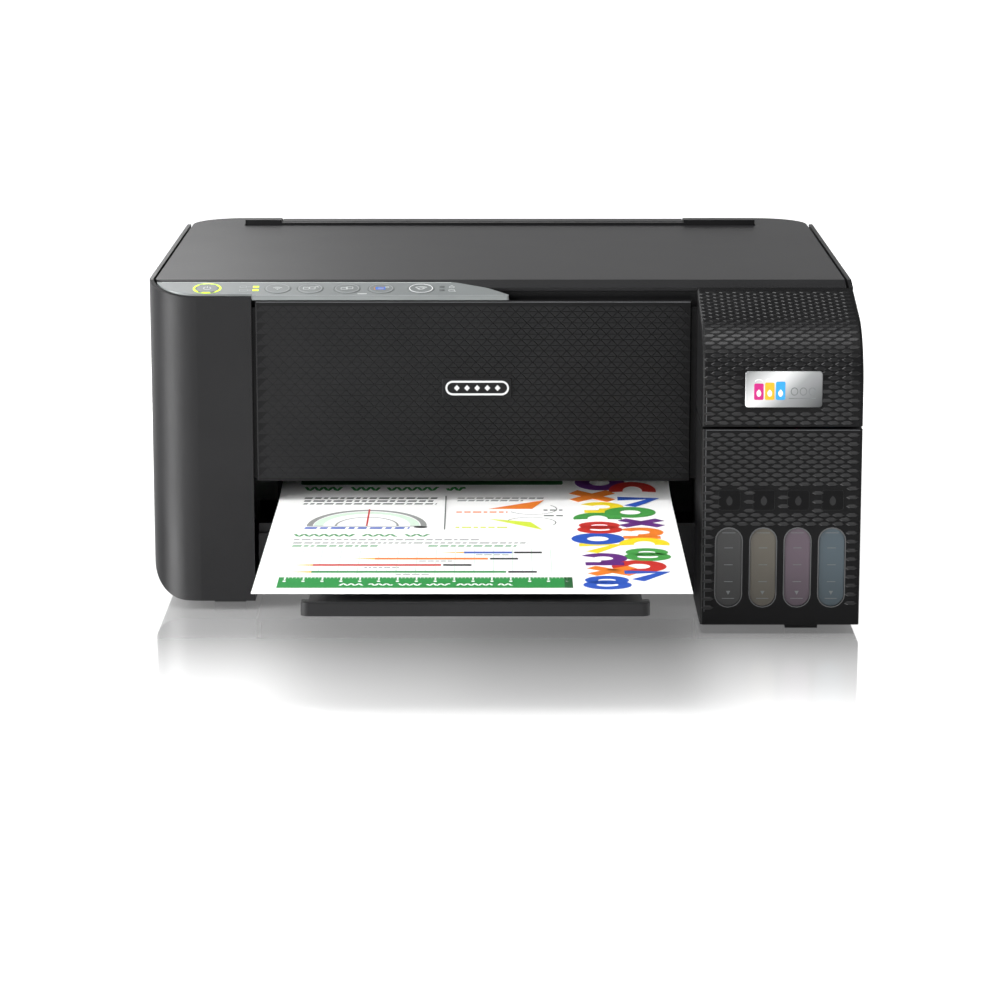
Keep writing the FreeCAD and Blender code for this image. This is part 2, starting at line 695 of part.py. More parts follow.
def star_wheels():
    height = "(path_height + sheet_thickness + 0.6 + star_radius)"
    rod_all = rod("star_rod", "x", (eject_y, height), "1.4", ("-frame_half", "frame_half"))
    wheels = [
        rod(f"star_wheel_{i}", "x", (eject_y, height), "star_radius",
            (f"-112 + {i} * 24", f"-111 + {i} * 24"))
        for i in range(9)
    ]
    return join("star_wheels", rod_all, *wheels)


def gear_outline(teeth, module, backlash):
    """Points of an involute gear's outline with straight roots, first tooth along +X."""
    pitch_radius = teeth * module / 2
    base_radius = pitch_radius * math.cos(math.radians(20))
    tip_radius = pitch_radius + module
    root_radius = pitch_radius - 1.25 * module
    involute_at_pitch = math.tan(math.radians(20)) - math.radians(20)
    half_tooth = math.pi / (2 * teeth) - backlash / (2 * pitch_radius)
    first = max(base_radius, root_radius)
    radii = [first + (tip_radius - first) * k / 4 for k in range(5)]
    flank = []
    for radius in radii:
        roll = math.acos(min(1.0, base_radius / radius))
        flank.append((radius, half_tooth + involute_at_pitch - (math.tan(roll) - roll)))
    if root_radius < first:
        flank.insert(0, (root_radius, flank[0][1]))
    points = []
    for tooth in range(teeth):
        middle = 2 * math.pi * tooth / teeth
        rising = [(radius, middle - angle) for radius, angle in flank]
        falling = [(radius, middle + angle) for radius, angle in reversed(flank)]
        points += [Vector(0, r * math.cos(a), r * math.sin(a)) for r, a in rising + falling]
    return points


def gear(name, teeth_alias, y, bore, phase):
    """A spur gear on the left side of the frame, its first tooth turned by the phase in degrees."""
    teeth = round(value(teeth_alias))
    width = value("gear_face")
    points = gear_outline(teeth, value("gear_module"), 0.16)
    face = Part.Face(Part.makePolygon(points + points[:1]))
    solid = face.extrude(Vector(width, 0, 0))
    solid = solid.cut(Part.makeCylinder(bore, width + 2, Vector(-1, 0, 0), Vector(1, 0, 0)))
    wheel = add("Part::Feature", name)
    wheel.Shape = solid
    x = value("-frame_half - plate_thickness - 0.5 - gear_face")
    wheel.Placement = Placement(Vector(x, value(y), value("roller_height")), Rotation(Vector(1, 0, 0), phase))
    return wheel


def feed_motor():
    y = "(feed_y + gear_module * feed_teeth / 2 + 6)"
    span = ("-frame_half", "-frame_half + 34")
    can = rod("feed_motor_can", "x", (y, "roller_height"), "11", span)
    stub = rod("feed_motor_stub", "x", (y, "roller_height"), "4", (span[0], "-frame_half + 37"))
    return join("feed_motor", can, stub)


def pulley(name, x, shaft_span):
    """A flanged belt pulley with its upright shaft."""
    place = (x, "belt_y")
    return join(
        name,
        rod(name + "_hub", "z", place, "pulley_radius", ("belt_height - 4", "belt_height + 4")),
        rod(name + "_low", "z", place, "pulley_radius + 1.5", ("belt_height - 4", "belt_height - 3.3")),
        rod(name + "_high", "z", place, "pulley_radius + 1.5", ("belt_height + 3.3", "belt_height + 4")),
        rod(name + "_shaft", "z", place, "1.5", shaft_span),
    )


def belt_loop(name, radius, height):
    """A band around both carriage pulleys, as a solid of its outer outline."""
    x, y = f"(belt_half + {radius})", f"({radius})"
    return pad(name, "XY", [
        (f"-{x}", f"belt_y - {y}", f"{radius} - 0.02"), (x, f"belt_y - {y}", f"{radius} - 0.02"),
        (x, f"belt_y + {y}", f"{radius} - 0.02"), (f"-{x}", f"belt_y + {y}", f"{radius} - 0.02"),
    ], (f"belt_height - {height}", f"belt_height + {height}"))


def timing_belt():
    return cut("timing_belt", belt_loop("belt_outside", "(pulley_radius + pin_play + 1)", 3),
               belt_loop("belt_inside", "(pulley_radius + pin_play)", 4))


def carriage():
    x = ("carriage_home - carriage_width / 2", "carriage_home + carriage_width / 2")
    box_y = ("-32", "belt_y - 8")
    body = block("carriage_box", x, box_y, ("path_height + 7", "rail_top + 6"))
    well = block("carriage_well", (f"{x[0]} + 3", f"{x[1]} - 3"), ("-29", "belt_y - 20"),
                 ("path_height + 30", "rail_top + 7"))
    shoe = block("carriage_shoe", x, ("belt_y - 9", "belt_y + 12"), ("rail_top + play", "rail_top + 6"))
    clip = block("carriage_clip", ("carriage_home - 8", "carriage_home + 8"), ("belt_y - 9", "belt_y - 7.3"),
                 ("belt_height - 4", "belt_height + 4"))
    return cut("carriage", join("carriage_solid", body, shoe, clip), well)


def print_head():
    x = ("carriage_home - carriage_width / 2 + 4", "carriage_home + carriage_width / 2 - 4")
    return block("print_head", x, ("-25", "25"), ("path_height + 1.6", "path_height + 7"))


def capping_station():
    return join(
        "capping_station",
        block("capping_base", ("carriage_home - 26", "carriage_home + 26"), ("-28", "28"), (base_top, "60")),
        block("capping_lip", ("carriage_home - 20", "carriage_home + 20"), ("-20", "20"),
              ("59", "path_height + 1.2")),
    )


def carriage_motor():
    return rod("carriage_motor", "z", ("-belt_half", "belt_y"), "frame_half - belt_half",
               ("belt_height - 36", "belt_height - 10"))


def main_board():
    chips = [
        block(f"board_chip_{i}", (x, f"{x} + {w}"), ("146", "150.5"), (z, f"{z} + {w}"))
        for i, (x, z, w) in enumerate(((-138, 20, 16), (-110, 50, 22), (-82, 24, 12)))
    ]
    return join("main_board", block("board_plate", ("-146", "-62"), ("150", "151.6"), (base_top, "94")),
                *chips)


def power_supply():
    return block("power_supply", ("62", "146"), ("90", f"{back_in} - 10"), (base_top, "50"))


def usb_socket():
    shell = socket_space("usb_shell", "usb", 0, ("151.6", f"{rear} - 0.5"))
    mouth = socket_space("usb_mouth", "usb", -1, ("160", f"{rear} + 1"))
    tongue = block("usb_tongue", ("-108", "-102"), ("159", f"{rear} - 3"), ("34.2", "37"))
    return join("usb_socket", cut("usb_hollow", shell, mouth), tongue)


def power_inlet():
    shell = socket_space("inlet_shell", "inlet", 0, (f"{back_in} - 10", f"{rear} - 0.5"))
    mouth = socket_space("inlet_mouth", "inlet", -1.5, (f"{back_in} - 8", f"{rear} + 1"))
    pins = [
        rod(f"inlet_pin_{i}", "y", (x, "28.5"), "1.2", (f"{back_in} - 9", f"{rear} - 2.5"))
        for i, x in enumerate(("108", "116"))
    ]
    return join("power_inlet", cut("inlet_hollow", shell, mouth), *pins)


# ---------------------------------------------------------------- rear paper feed

def lug_side(bottom, inset):
    """Profile of the feed housing's raised ends: level at the front, falling to the back."""
    back = f"({rear} - 5.5 - {inset})"
    return [
        (f"{feed_front} + {inset}", bottom), (f"{feed_front} + {inset}", f"lug_top - {inset}"),
        (f"{feed_front} + lug_flat", f"lug_top - {inset}"),
        (back, f"lug_top - lug_fall - {inset}"), (back, bottom),
    ]


def rear_feed_housing():
    back = f"({rear} - 5.5)"
    walls = []
    for name, x in (("left", (f"-{feed_half}", f"-{feed_half} + 2.5")),
                    ("right", (f"{feed_half} - 2.5", feed_half))):
        walls.append(block(f"feed_wall_{name}", x, (f"{feed_front} - 17", back), (base_top, "120")))
        walls.append(pad(f"feed_cheek_{name}", "YZ", lug_side("119", 0), x))
    lug_solids = []
    for name, x in (("left", (f"-{feed_half}", slot_left)), ("right", (slot_right, feed_half))):
        solid = pad(f"feed_lug_{name}", "YZ", lug_side("150", 0), x)
        space = pad(f"feed_lug_space_{name}", "YZ", lug_side("149", 2.2), (f"{x[0]} + 2.2", f"{x[1]} - 2.2"))
        lug_solids.append(cut(f"feed_lug_shell_{name}", solid, space))
    face = block("feed_face", (f"-{feed_half}", feed_half), (feed_front, f"{feed_front} + 3.5"),
                 ("112", "lug_top - 1.7"))
    hopper = pad("feed_hopper", "YZ", [
        (f"{back} - 1.5", "lug_top - lug_fall - 1"), (f"{back} + 0.5", "lug_top - lug_fall - 1"),
        (f"{back} - 24", "100"), (f"{back} - 26", "100"),
    ], (f"-{feed_half} + 1", f"{feed_half} - 1"))
    return join("rear_feed_housing", face, hopper, *walls, *lug_solids)


def edge_guide(name, x):
    back = f"({rear} - 5.5)"
    return pad(name, "YZ", [
        (f"{feed_front} + 8", "lug_top - 7", "2"), (f"{back} - 2.7", "lug_top - 7"),
        (f"{back} - 10", "lug_top - 29"), (f"{feed_front} + 8", "lug_top - 29"),
    ], x)


def paper_support():
    sheet_y = (f"{rear} - 4.6", f"{rear} - 2.7")
    plate = pad("paper_support", "XZ", [
        ("-63", "90"), ("37", "90"), ("37", "lug_top - 5.2", "8"), ("-63", "lug_top - 5.2", "8"),
    ], sheet_y)
    return plate


def feeder_guard():
    axis_y, axis_z = f"({feed_front} + 5.1)", "(lug_top - 2.3)"
    x = (f"{slot_left} + play", f"{slot_right} - play")
    plate = block("guard_plate", x, (axis_y, f"{axis_y} + 12.4"), (f"{axis_z} - 0.8", f"{axis_z} + 0.8"))
    barrel = rod("guard_barrel", "x", (axis_y, axis_z), "0.8", x)
    return join("feeder_guard", plate, barrel)


def pick_roller():
    place = ("120", "92")
    return join(
        "pick_roller",
        rod("pick_rubber", "x", place, "14", ("-38", "6")),
        rod("pick_shaft", "x", place, "3", (f"-{feed_half} + 2.5", f"{feed_half} - 2.5")),
    )


# ---------------------------------------------------------------- scanner unit

def knuckle(name, side, first, last, bottom, low_y, drop_to):
    """A hinge leaf with its round end, on one side of the machine."""
    span = (f"({feed_half} + {first})", f"({feed_half} + {last})")
    low, high = span if side > 0 else (f"-{span[1]}", f"-{span[0]}")
    return (
        block(name + "_leaf", (low, high), (low_y, f"{hinge_y} + {bottom}"), drop_to),
        rod(name + "_eye", "x", (hinge_y, "hinge_height"), "hinge_radius", (low, high)),
    )


def pin_bore(name):
    return rod(name, "x", (hinge_y, "hinge_height"), "hinge_pin + pin_play", (f"-{half}", half))


def scanner_case():
    notch = f"({feed_half} + 1.5)"
    corner_y = f"({rear} - 25.5)"
    plan = pad("scanner_plan", "XY", [
        (f"-{lid_half}", f"{front} + 8", "20"), ("3", f"{front} + 8"), ("3", f"{cover_front} + 2"),
        (lid_half, f"{cover_front} + 2"), (lid_half, corner_y, "12"), (notch, corner_y),
        (notch, scanner_rear), (f"-{notch}", scanner_rear), (f"-{notch}", corner_y),
        (f"-{lid_half}", corner_y, "12"),
    ], (scanner_bottom, scanner_rim))
    well = block("scanner_well", (f"-{lid_half} + case_wall", f"{lid_half} - case_wall"),
                 (f"{cover_front} + 2 + case_wall", f"{scanner_rear} - case_wall"),
                 (f"{scanner_bottom} + case_wall", f"{scanner_rim} + 1"))
    rail = block("scanner_rail", (f"-{lid_half} + 1", f"{lid_half} - 1"), ("8", "14"),
                 (f"{scanner_bottom} + 1", f"{scanner_bottom} + 7.4"))
    leaves = []
    for name, side in (("left", -1), ("right", 1)):
        leaves += knuckle(f"scanner_{name}", side, 5.5, 8.5, 0, f"{corner_y} - 3",
                          ("hinge_height - hinge_radius", scanner_rim))
    return cut("scanner_case", join("scanner_solid", cut("scanner_tub", plan, well), rail, *leaves),
               pin_bore("scanner_bore"))


glass_x = "(-163)"
glass_y = "(-94)"


def scanner_top_frame():
    notch = f"({feed_half} + 1.5)"
    corner_y = f"({rear} - 25.5)"
    top = (scanner_rim, f"{scanner_rim} + frame_thickness")
    plan = pad("frame_plan", "XY", [
        (f"-{lid_half}", f"{strip_rear} + 0.3", "6"), ("-24", f"{strip_rear} + 0.3", "5"),
        ("-8", f"{cover_front} + 1.5", "5"), (lid_half, f"{cover_front} + 1.5"),
        (lid_half, corner_y, "12"), (notch, corner_y), (notch, scanner_rear),
        (f"-{notch}", scanner_rear), (f"-{notch}", corner_y), (f"-{lid_half}", corner_y, "12"),
    ], top)
    window = block("frame_window", (glass_x, f"{glass_x} + glass_length"),
                   (glass_y, f"{glass_y} + glass_width"), (f"{top[0]} - 1", f"{top[1]} + 1"))
    seat = block("frame_seat", (f"{glass_x} - 1.7", f"{glass_x} + glass_length + 1.7"),
                 (f"{glass_y} - 1.7", f"{glass_y} + glass_width + 1.7"),
                 (f"{top[0]} - 1", f"{top[0]} + 0.2 + glass_thickness"))
    return cut("scanner_top_frame", plan, window, seat)


def scanner_glass():
    return block("scanner_glass", (f"{glass_x} - 1.6", f"{glass_x} + glass_length + 1.6"),
                 (f"{glass_y} - 1.6", f"{glass_y} + glass_width + 1.6"),
                 (f"{scanner_rim} + 0.2", f"{scanner_rim} + 0.2 + glass_thickness"))


def sensor_bar():
    bar = block("sensor_body", (f"{glass_x} + 1", f"{glass_x} + 17"),
                (f"{glass_y} - 1.5", f"{glass_y} + glass_width + 1.5"),
                (f"{scanner_bottom} + 7.4 + play", f"{scanner_rim} - 0.8"))
    lens = block("sensor_slot", (f"{glass_x} + 7", f"{glass_x} + 11"),
                 (f"{glass_y} + 2", f"{glass_y} + glass_width - 2"),
                 (f"{scanner_rim} - 3", f"{scanner_rim} + 1"))
    return cut("sensor_bar", bar, lens)


# Each button: its name, its middle from the strip's left end, and its radius.
buttons = (
    ("power_button", 28.6, "button_radius - 1"),
    ("wireless_button", 66, "button_radius"),
    ("status_button", 83.3, "button_radius"),
    ("mono_copy_button", 102.9, "button_radius"),
    ("colour_copy_button", 120.9, "button_radius"),
    ("stop_button", 142.1, "button_radius"),
)
button_y = f"({front} + 9.8)"
lamps = ((54.4, 2.3, 3.2, 2.2), (54.4, -2.3, 3.2, 2.2), (153.2, 2.3, 2.6, 2.2), (153.2, -2.3, 2.6, 2.2))


def tilted(item, x, y, depth):
    """Sets a piece on the sloping panel, its own z along the panel's normal, sunk by the depth."""
    item.Placement = Placement(Vector(), Rotation(Vector(1, 0, 0), 1))
    bind(item, ".Placement.Rotation.Angle", "panel_tilt")
    bind(item, ".Placement.Base.x", x)
    bind(item, ".Placement.Base.y", f"{y} + ({depth}) * sin(panel_tilt)")
    bind(item, ".Placement.Base.z", f"{slope(y)} - ({depth}) * cos(panel_tilt)")
    return item


def disc(name, x, y, radius, depth, height):
    """A round piece in the panel, from the depth below its surface upwards."""
    bar = add("Part::Cylinder", name)
    bind(bar, "Radius", radius)
    bind(bar, "Height", height)
    return tilted(bar, x, y, depth)


def lamp_block(name, lamp, margin, depth, height):
    """A small oblong in the panel, with a margin all round."""
    along, across, width, length = lamp
    x = f"(-{lid_half} + {along} - {width} / 2 - {margin})"
    y = f"({button_y} + ({across} - {length} / 2 - {margin}) * cos(panel_tilt))"
    oblong = add("Part::Box", name)
    bind(oblong, "Length", f"{width} + 2 * {margin}")
    bind(oblong, "Width", f"{length} + 2 * {margin}")
    bind(oblong, "Height", height)
    return tilted(oblong, x, y, depth)


def control_panel():
    step_x = f"({case_inner_x} + 0.5)"
    inside = f"({front} + case_wall + 0.4)"
    tip_x = f"(strip_tip - {lid_half})"
    plan = pad("strip_plan", "XY", [
        (f"-{lid_half}", f"{strip_rear} + 12"), (f"-{lid_half}", inside, "front_corner - case_wall - 1.4"),
        (step_x, inside), (step_x, front), (tip_x, front, "1"),
        (f"{tip_x} - 13", f"{cover_front} - 0.5", "12"), (f"{tip_x} - strip_taper", strip_rear, "14"),
        (f"{step_x} - 20", strip_rear), (f"{step_x} - 20", f"{strip_rear} + 12"),
    ], (scanner_rim, "case_top"))
    wedge = pad("strip_wedge", "YZ", [
        (f"{front} - 1", scanner_rim), (strip_rear, scanner_rim),
        (strip_rear, slope(strip_rear)), (f"{front} - 1", slope(f"{front} - 1")),
    ], (f"-{half}", half))
    holes = [
        disc(f"{name}_hole", f"-{lid_half} + {along}", button_y, f"{radius} + 0.25", 9, 12)
        for name, along, radius in buttons
    ]
    pockets = [lamp_block(f"lamp_pocket_{i}", lamp, 0.05, 1, 3) for i, lamp in enumerate(lamps)]
    return cut("control_panel", common("strip_solid", plan, wedge), *holes, *pockets)


def button(name, along, radius):
    x = f"(-{lid_half} + {along})"
    cap = disc(f"{name}_cap", x, button_y, radius, 1.3, 1.45)
    stem = disc(f"{name}_stem", x, button_y, "1.5", 3.4, 3)
    return join(name, cap, stem)


def lamp_lenses():
    return group("lamp_lenses", *[
        lamp_block(f"lamp_lens_{i}", lamp, 0, 0.95, 1.05) for i, lamp in enumerate(lamps)
    ])


# ---------------------------------------------------------------- document cover

def document_cover():
    corner_x = f"({feed_half} + 0.5)"
    corner_y = f"({rear} - 8)"
    nose = f"({strip_rear} + 0.5)"
    taper = f"(strip_tip - {lid_half} - strip_taper)"
    plan = pad("cover_plan", "XY", [
        (f"-{lid_half}", nose, "6"), (taper, nose, "14"), (f"{taper} + 17.5", cover_front, "14"),
        (lid_half, cover_front), (lid_half, corner_y, "cover_corner"), (corner_x, corner_y),
        (corner_x, cover_rear), (f"-{corner_x}", cover_rear), (f"-{corner_x}", corner_y),
        (f"-{lid_half}", corner_y, "cover_corner"),
    ], (cover_bottom, "case_top"))
    profile = pad("cover_profile", "YZ", [
        (f"{cover_front} - 1", cover_bottom), (rear, cover_bottom), (rear, "case_top"),
        (slope_y, "case_top"), (f"{cover_front} - 1", slope(f"{cover_front} - 1")),
    ], (f"-{half}", half))
    recess = block("cover_recess", (f"-{lid_half} + 8", f"{lid_half} - 8"), ("-96", f"{cover_rear} - 4.5"),
                   (f"{cover_bottom} - 1", f"{cover_bottom} + 2"))
    leaves = []
    for name, side in (("left", -1), ("right", 1)):
        leaves += knuckle(f"cover_{name}", side, 9, 12.3, "hinge_radius", f"{hinge_y} - hinge_radius",
                          ("hinge_height", f"{cover_bottom} + 1"))
    return cut("document_cover",
               join("cover_solid", cut("cover_shell", common("cover_plate", plan, profile), recess), *leaves),
               pin_bore("cover_bore"))


def cover_pad():
    return block("cover_pad", (f"-{lid_half} + 10", f"{lid_half} - 10"), ("-94", f"{cover_rear} - 6.5"),
                 (f"{scanner_rim} + frame_thickness + 0.2", f"{cover_bottom} + 2"))


def screws():
    """Countersunk screws in the rear case, as separate solids."""
    places = [(x, z) for x in ("-124", "0", "124") for z in ("14", "110")]
    return group("screws", *[
        rod(f"screw_{i}", "y", (x, z), "3", (rear, f"{rear} + 0.8")) for i, (x, z) in enumerate(places)
    ])


def nodes():
    """Every piece of the printer, by the name of its node."""
    yield base_chassis()
    yield left_side_case()
    yield right_side_case()
    yield rear_case()
    yield front_panel()
    yield front_mark()
    yield rubber_feet()
    yield screws()
    yield tank_front_case()
    yield ink_tanks()
    for ink, x in zip(inks, bottles):
        yield tank_cap(ink, x)
    yield tank_cover()
    yield tank_badge()
    yield output_tray()
    yield tray_extension()
    yield printed_sheet()
    yield main_frame()
    yield carriage_rail()
    yield platen()
    yield roller("feed_roller", "feed_y", "feed_radius", (-150, 150), 6)
    yield roller("eject_roller", eject_y, "eject_radius", (-118, 112), 9)
    yield star_wheels()
    yield gear("feed_gear", "feed_teeth", "feed_y", value("shaft"), 180)
    yield gear("transfer_gear", "transfer_teeth", transfer_y, 1.5, 180 / value("transfer_teeth"))
    yield gear("eject_gear", "eject_teeth", eject_y, value("shaft"), 0)
    yield feed_motor()
    yield carriage_motor()
    yield pulley("drive_pulley", "-belt_half", ("belt_height - 10", "belt_height + 6"))
    yield pulley("idler_pulley", "belt_half", ("belt_height - 6", "rail_top - 2"))
    yield timing_belt()
    yield carriage()
    yield print_head()
    yield capping_station()
    yield main_board()
    yield power_supply()
    yield usb_socket()
    yield power_inlet()
    yield rear_feed_housing()
    yield edge_guide("edge_guide_left", ("sheet_left - 2.4", "sheet_left - 0.4"))
    yield edge_guide("edge_guide_right",
                     ("sheet_left + sheet_width + 0.4", "sheet_left + sheet_width + 2.4"))
    yield paper_support()
    yield feeder_guard()
    yield pick_roller()
    yield scanner_case()
    yield scanner_top_frame()
    yield scanner_glass()
    yield sensor_bar()
    yield control_panel()
    for name, along, radius in buttons:
        yield button(name, along, radius)
    yield lamp_lenses()
    yield document_cover()
    yield cover_pad()


pieces = {}
for piece in nodes():
    piece.Label = piece.Name
    pieces[piece.Name] = piece
doc.recompute()

failed = [item.Name for item in doc.Objects if {"Invalid", "Error"} & set(item.State)]
if failed:
    raise RuntimeError(f"failed features: {failed}")
for name, piece in pieces.items():
    if piece.Shape.isNull() or not piece.Shape.isValid() or not piece.Shape.Solids:
        raise RuntimeError(f"{name}: no valid solid")

os.makedirs("parts", exist_ok=True)
for name, piece in pieces.items():
    piece.Shape.exportStep(f"parts/{name}.step")
    print(name, len(piece.Shape.Solids), round(piece.Shape.Volume / 1000, 2))
print(len(pieces), "pieces")
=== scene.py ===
# Ink tank printer: moulded black cases, a grey control strip, a faceted front and a printed sheet.
# Sizes in the dictionaries are in mm; the scene is in metres.
import math
import random

import bmesh
import bpy
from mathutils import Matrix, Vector
from mathutils.bvhtree import BVHTree


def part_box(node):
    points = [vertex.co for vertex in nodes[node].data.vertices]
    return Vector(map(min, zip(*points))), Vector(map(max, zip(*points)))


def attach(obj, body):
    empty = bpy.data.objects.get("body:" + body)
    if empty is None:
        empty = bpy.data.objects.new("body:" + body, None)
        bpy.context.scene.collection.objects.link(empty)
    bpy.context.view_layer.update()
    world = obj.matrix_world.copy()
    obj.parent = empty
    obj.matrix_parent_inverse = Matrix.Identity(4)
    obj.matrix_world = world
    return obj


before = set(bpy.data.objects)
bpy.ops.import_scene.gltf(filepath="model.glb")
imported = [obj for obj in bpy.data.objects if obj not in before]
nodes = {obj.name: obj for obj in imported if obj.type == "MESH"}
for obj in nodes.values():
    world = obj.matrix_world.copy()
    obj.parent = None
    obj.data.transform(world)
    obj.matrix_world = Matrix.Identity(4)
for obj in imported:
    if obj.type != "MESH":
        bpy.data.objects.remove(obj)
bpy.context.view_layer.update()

mm = 0.001
print("frame loaded:", len(nodes), "nodes")


def linear(hexColour):
    parts = [int(hexColour[i:i + 2], 16) / 255 for i in (1, 3, 5)]
    return [p / 12.92 if p <= 0.04045 else ((p + 0.055) / 1.055) ** 2.4 for p in parts] + [1]


def addNode(tree, kind, inputs=None, **settings):
    made = tree.nodes.new(kind)
    for name, setting in settings.items():
        setattr(made, name, setting)
    for name, source in (inputs or {}).items():
        if isinstance(source, bpy.types.NodeSocket):
            tree.links.new(source, made.inputs[name])
        else:
            made.inputs[name].default_value = source
    return made


def newTree(name):
    mat = bpy.data.materials.new(name)
    mat.use_nodes = True
    mat.node_tree.nodes.clear()
    return mat, mat.node_tree


def colourStops(ramp, stops):
    while len(ramp.elements) < len(stops):
        ramp.elements.new(1)
    for element, (place, hexColour) in zip(ramp.elements, stops):
        element.position = place
        element.color = linear(hexColour)


# ---- finishes ----
def moulded(name, look):
    # injection moulded plastic: a spark eroded grain breaks its gloss, and handling leaves it uneven
    mat, tree = newTree(name)
    place = addNode(tree, "ShaderNodeTexCoord").outputs["Object"]
    grain = addNode(tree, "ShaderNodeTexNoise",
                    {"Vector": place, "Scale": 1 / (look["grain"] * mm), "Detail": 4})
    broad = addNode(tree, "ShaderNodeTexNoise",
                    {"Vector": place, "Scale": 1 / (look["patch"] * mm), "Detail": 2})
    tone = addNode(tree, "ShaderNodeValToRGB", {"Fac": broad.outputs["Fac"]})
    colourStops(tone.color_ramp, ((0.35, look["colour"]), (0.7, look["worn"])))
    spread = look.get("spread", 0.04)
    rough = addNode(tree, "ShaderNodeMapRange", {
        "Value": broad.outputs["Fac"], "From Min": 0.3, "From Max": 0.7,
        "To Min": look["roughness"] - spread, "To Max": look["roughness"] + spread})
    bump = addNode(tree, "ShaderNodeBump", {
        "Height": grain.outputs["Fac"], "Strength": look["bump"], "Distance": look["grain"] * mm * 0.3})
    surface = addNode(tree, "ShaderNodeBsdfPrincipled", {
        "Base Color": tone.outputs["Color"], "Roughness": rough.outputs["Result"],
        "IOR": look.get("ior", 1.5),
        "Normal": bump.outputs["Normal"], "Metallic": look.get("metallic", 0.0),
        "Specular IOR Level": look.get("specular", 0.5)})
    addNode(tree, "ShaderNodeOutputMaterial", {"Surface": surface.outputs["BSDF"]})
    return mat


# grain and patch are sizes in mm; a real eroded grain is nearer 0.1 mm, drawn coarser so that it shows
finishes = {
    "caseAbs": {"colour": "#161617", "worn": "#1a1a1b", "roughness": 0.46, "grain": 0.7, "patch": 60,
                "bump": 0.30, "specular": 0.22},
    "lidAbs": {"colour": "#232324", "worn": "#272728", "roughness": 0.46, "grain": 0.9, "patch": 45,
               "bump": 0.35, "specular": 0.12, "spread": 0.008},
    # front panel base, darker than its facets: its own black, plus painted shade in the grooves between
    # the facets
    "panelAndGrooveShade": {"colour": "#0e0e0f", "worn": "#111112", "roughness": 0.5, "grain": 0.7, "patch": 50,
                  "bump": 0.2, "specular": 0.15},
    # tank case under the scales, darker than the scales: its own near-black, plus painted shade in the
    # grooves between them
    "tankAndGrooveShade": {"colour": "#0e0e0f", "worn": "#111112", "roughness": 0.5, "grain": 0.7, "patch": 50,
                "bump": 0.2, "specular": 0.15},
    "scaleAbs": {"colour": "#161617", "worn": "#1a1a1b", "roughness": 0.36, "grain": 0.6, "patch": 50,
                 "bump": 0.15, "specular": 0.42},
    # painted highlight: a lighter grey laid as thin lines along edges where light catches them
    "paintedEdgeHighlight": {"colour": "#47484a", "worn": "#505153", "roughness": 0.4, "grain": 0.5, "patch": 40,
                "bump": 0.1},
    # marks on the tank labels, and also the fainter painted highlight along the front panel's left edge
    "markAndPaintedHighlight": {"colour": "#262627", "worn": "#2b2b2c", "roughness": 0.5, "grain": 0.5, "patch": 20,
                "bump": 0.1, "specular": 0.2},
    "facetAbs": {"colour": "#131314", "worn": "#171718", "roughness": 0.42, "grain": 0.6, "patch": 40,
                 "bump": 0.2, "specular": 0.2},
    "stripAbs": {"colour": "#747878", "worn": "#797d7d", "roughness": 0.38, "grain": 0.5, "patch": 30,
                 "bump": 0.12},
    "keyAbs": {"colour": "#707474", "worn": "#757979", "roughness": 0.34, "grain": 0.5, "patch": 12,
               "bump": 0.10},
    "trayAbs": {"colour": "#1c1c1d", "worn": "#202021", "roughness": 0.48, "grain": 0.7, "patch": 50,
                "bump": 0.3, "specular": 0.2},
    "innerAbs": {"colour": "#3c3d3e", "worn": "#454647", "roughness": 0.55, "grain": 0.7, "patch": 40,
                 "bump": 0.3},
    "gearAcetal": {"colour": "#dcdbd6", "worn": "#e6e5e1", "roughness": 0.38, "grain": 0.5, "patch": 20,
                   "bump": 0.1},
    "platedSteel": {"colour": "#a9acae", "worn": "#b6b9bb", "roughness": 0.32, "grain": 0.8,
                    "patch": 30,
                    "bump": 0.12, "metallic": 1.0},
    "circuitBoard": {"colour": "#17502f", "worn": "#1d5c38", "roughness": 0.4, "grain": 1.2,
                     "patch": 12,
                     "bump": 0.4},
    "softRubber": {"colour": "#19191a", "worn": "#202021", "roughness": 0.8, "grain": 0.8, "patch": 15,
                   "bump": 0.3},
    "padFoam": {"colour": "#eeeeea", "worn": "#f6f6f3", "roughness": 0.9, "grain": 1.6, "patch": 25,
                "bump": 0.5},
    "coatedPaper": {"colour": "#f7f7f6", "worn": "#fcfcfb", "roughness": 0.55, "grain": 0.5,
                    "patch": 60,
                    "bump": 0.06},
    "capBlack": {"colour": "#151516", "worn": "#1b1b1c", "roughness": 0.5, "grain": 0.6, "patch": 12,
                 "bump": 0.2},
    "capYellow": {"colour": "#e2b718", "worn": "#eac227", "roughness": 0.5, "grain": 0.6, "patch": 12,
                  "bump": 0.2},
    "capMagenta": {"colour": "#c21f72", "worn": "#cc2d7d", "roughness": 0.5, "grain": 0.6, "patch": 12,
                   "bump": 0.2},
    "capCyan": {"colour": "#1691c4", "worn": "#269dce", "roughness": 0.5, "grain": 0.6, "patch": 12,
                "bump": 0.2},
    "labelAbs": {"colour": "#0b0b0c", "worn": "#0e0e0f", "roughness": 0.55, "grain": 0.4, "patch": 15,
                 "bump": 0.08, "specular": 0.12},
    # painted highlight round the rims of the ink windows
    "paintedRimHighlight": {"colour": "#5a5b5c", "worn": "#626364", "roughness": 0.4, "grain": 0.5, "patch": 30,
                "bump": 0.1},
}
made = {name: moulded(name, look) for name, look in finishes.items()}


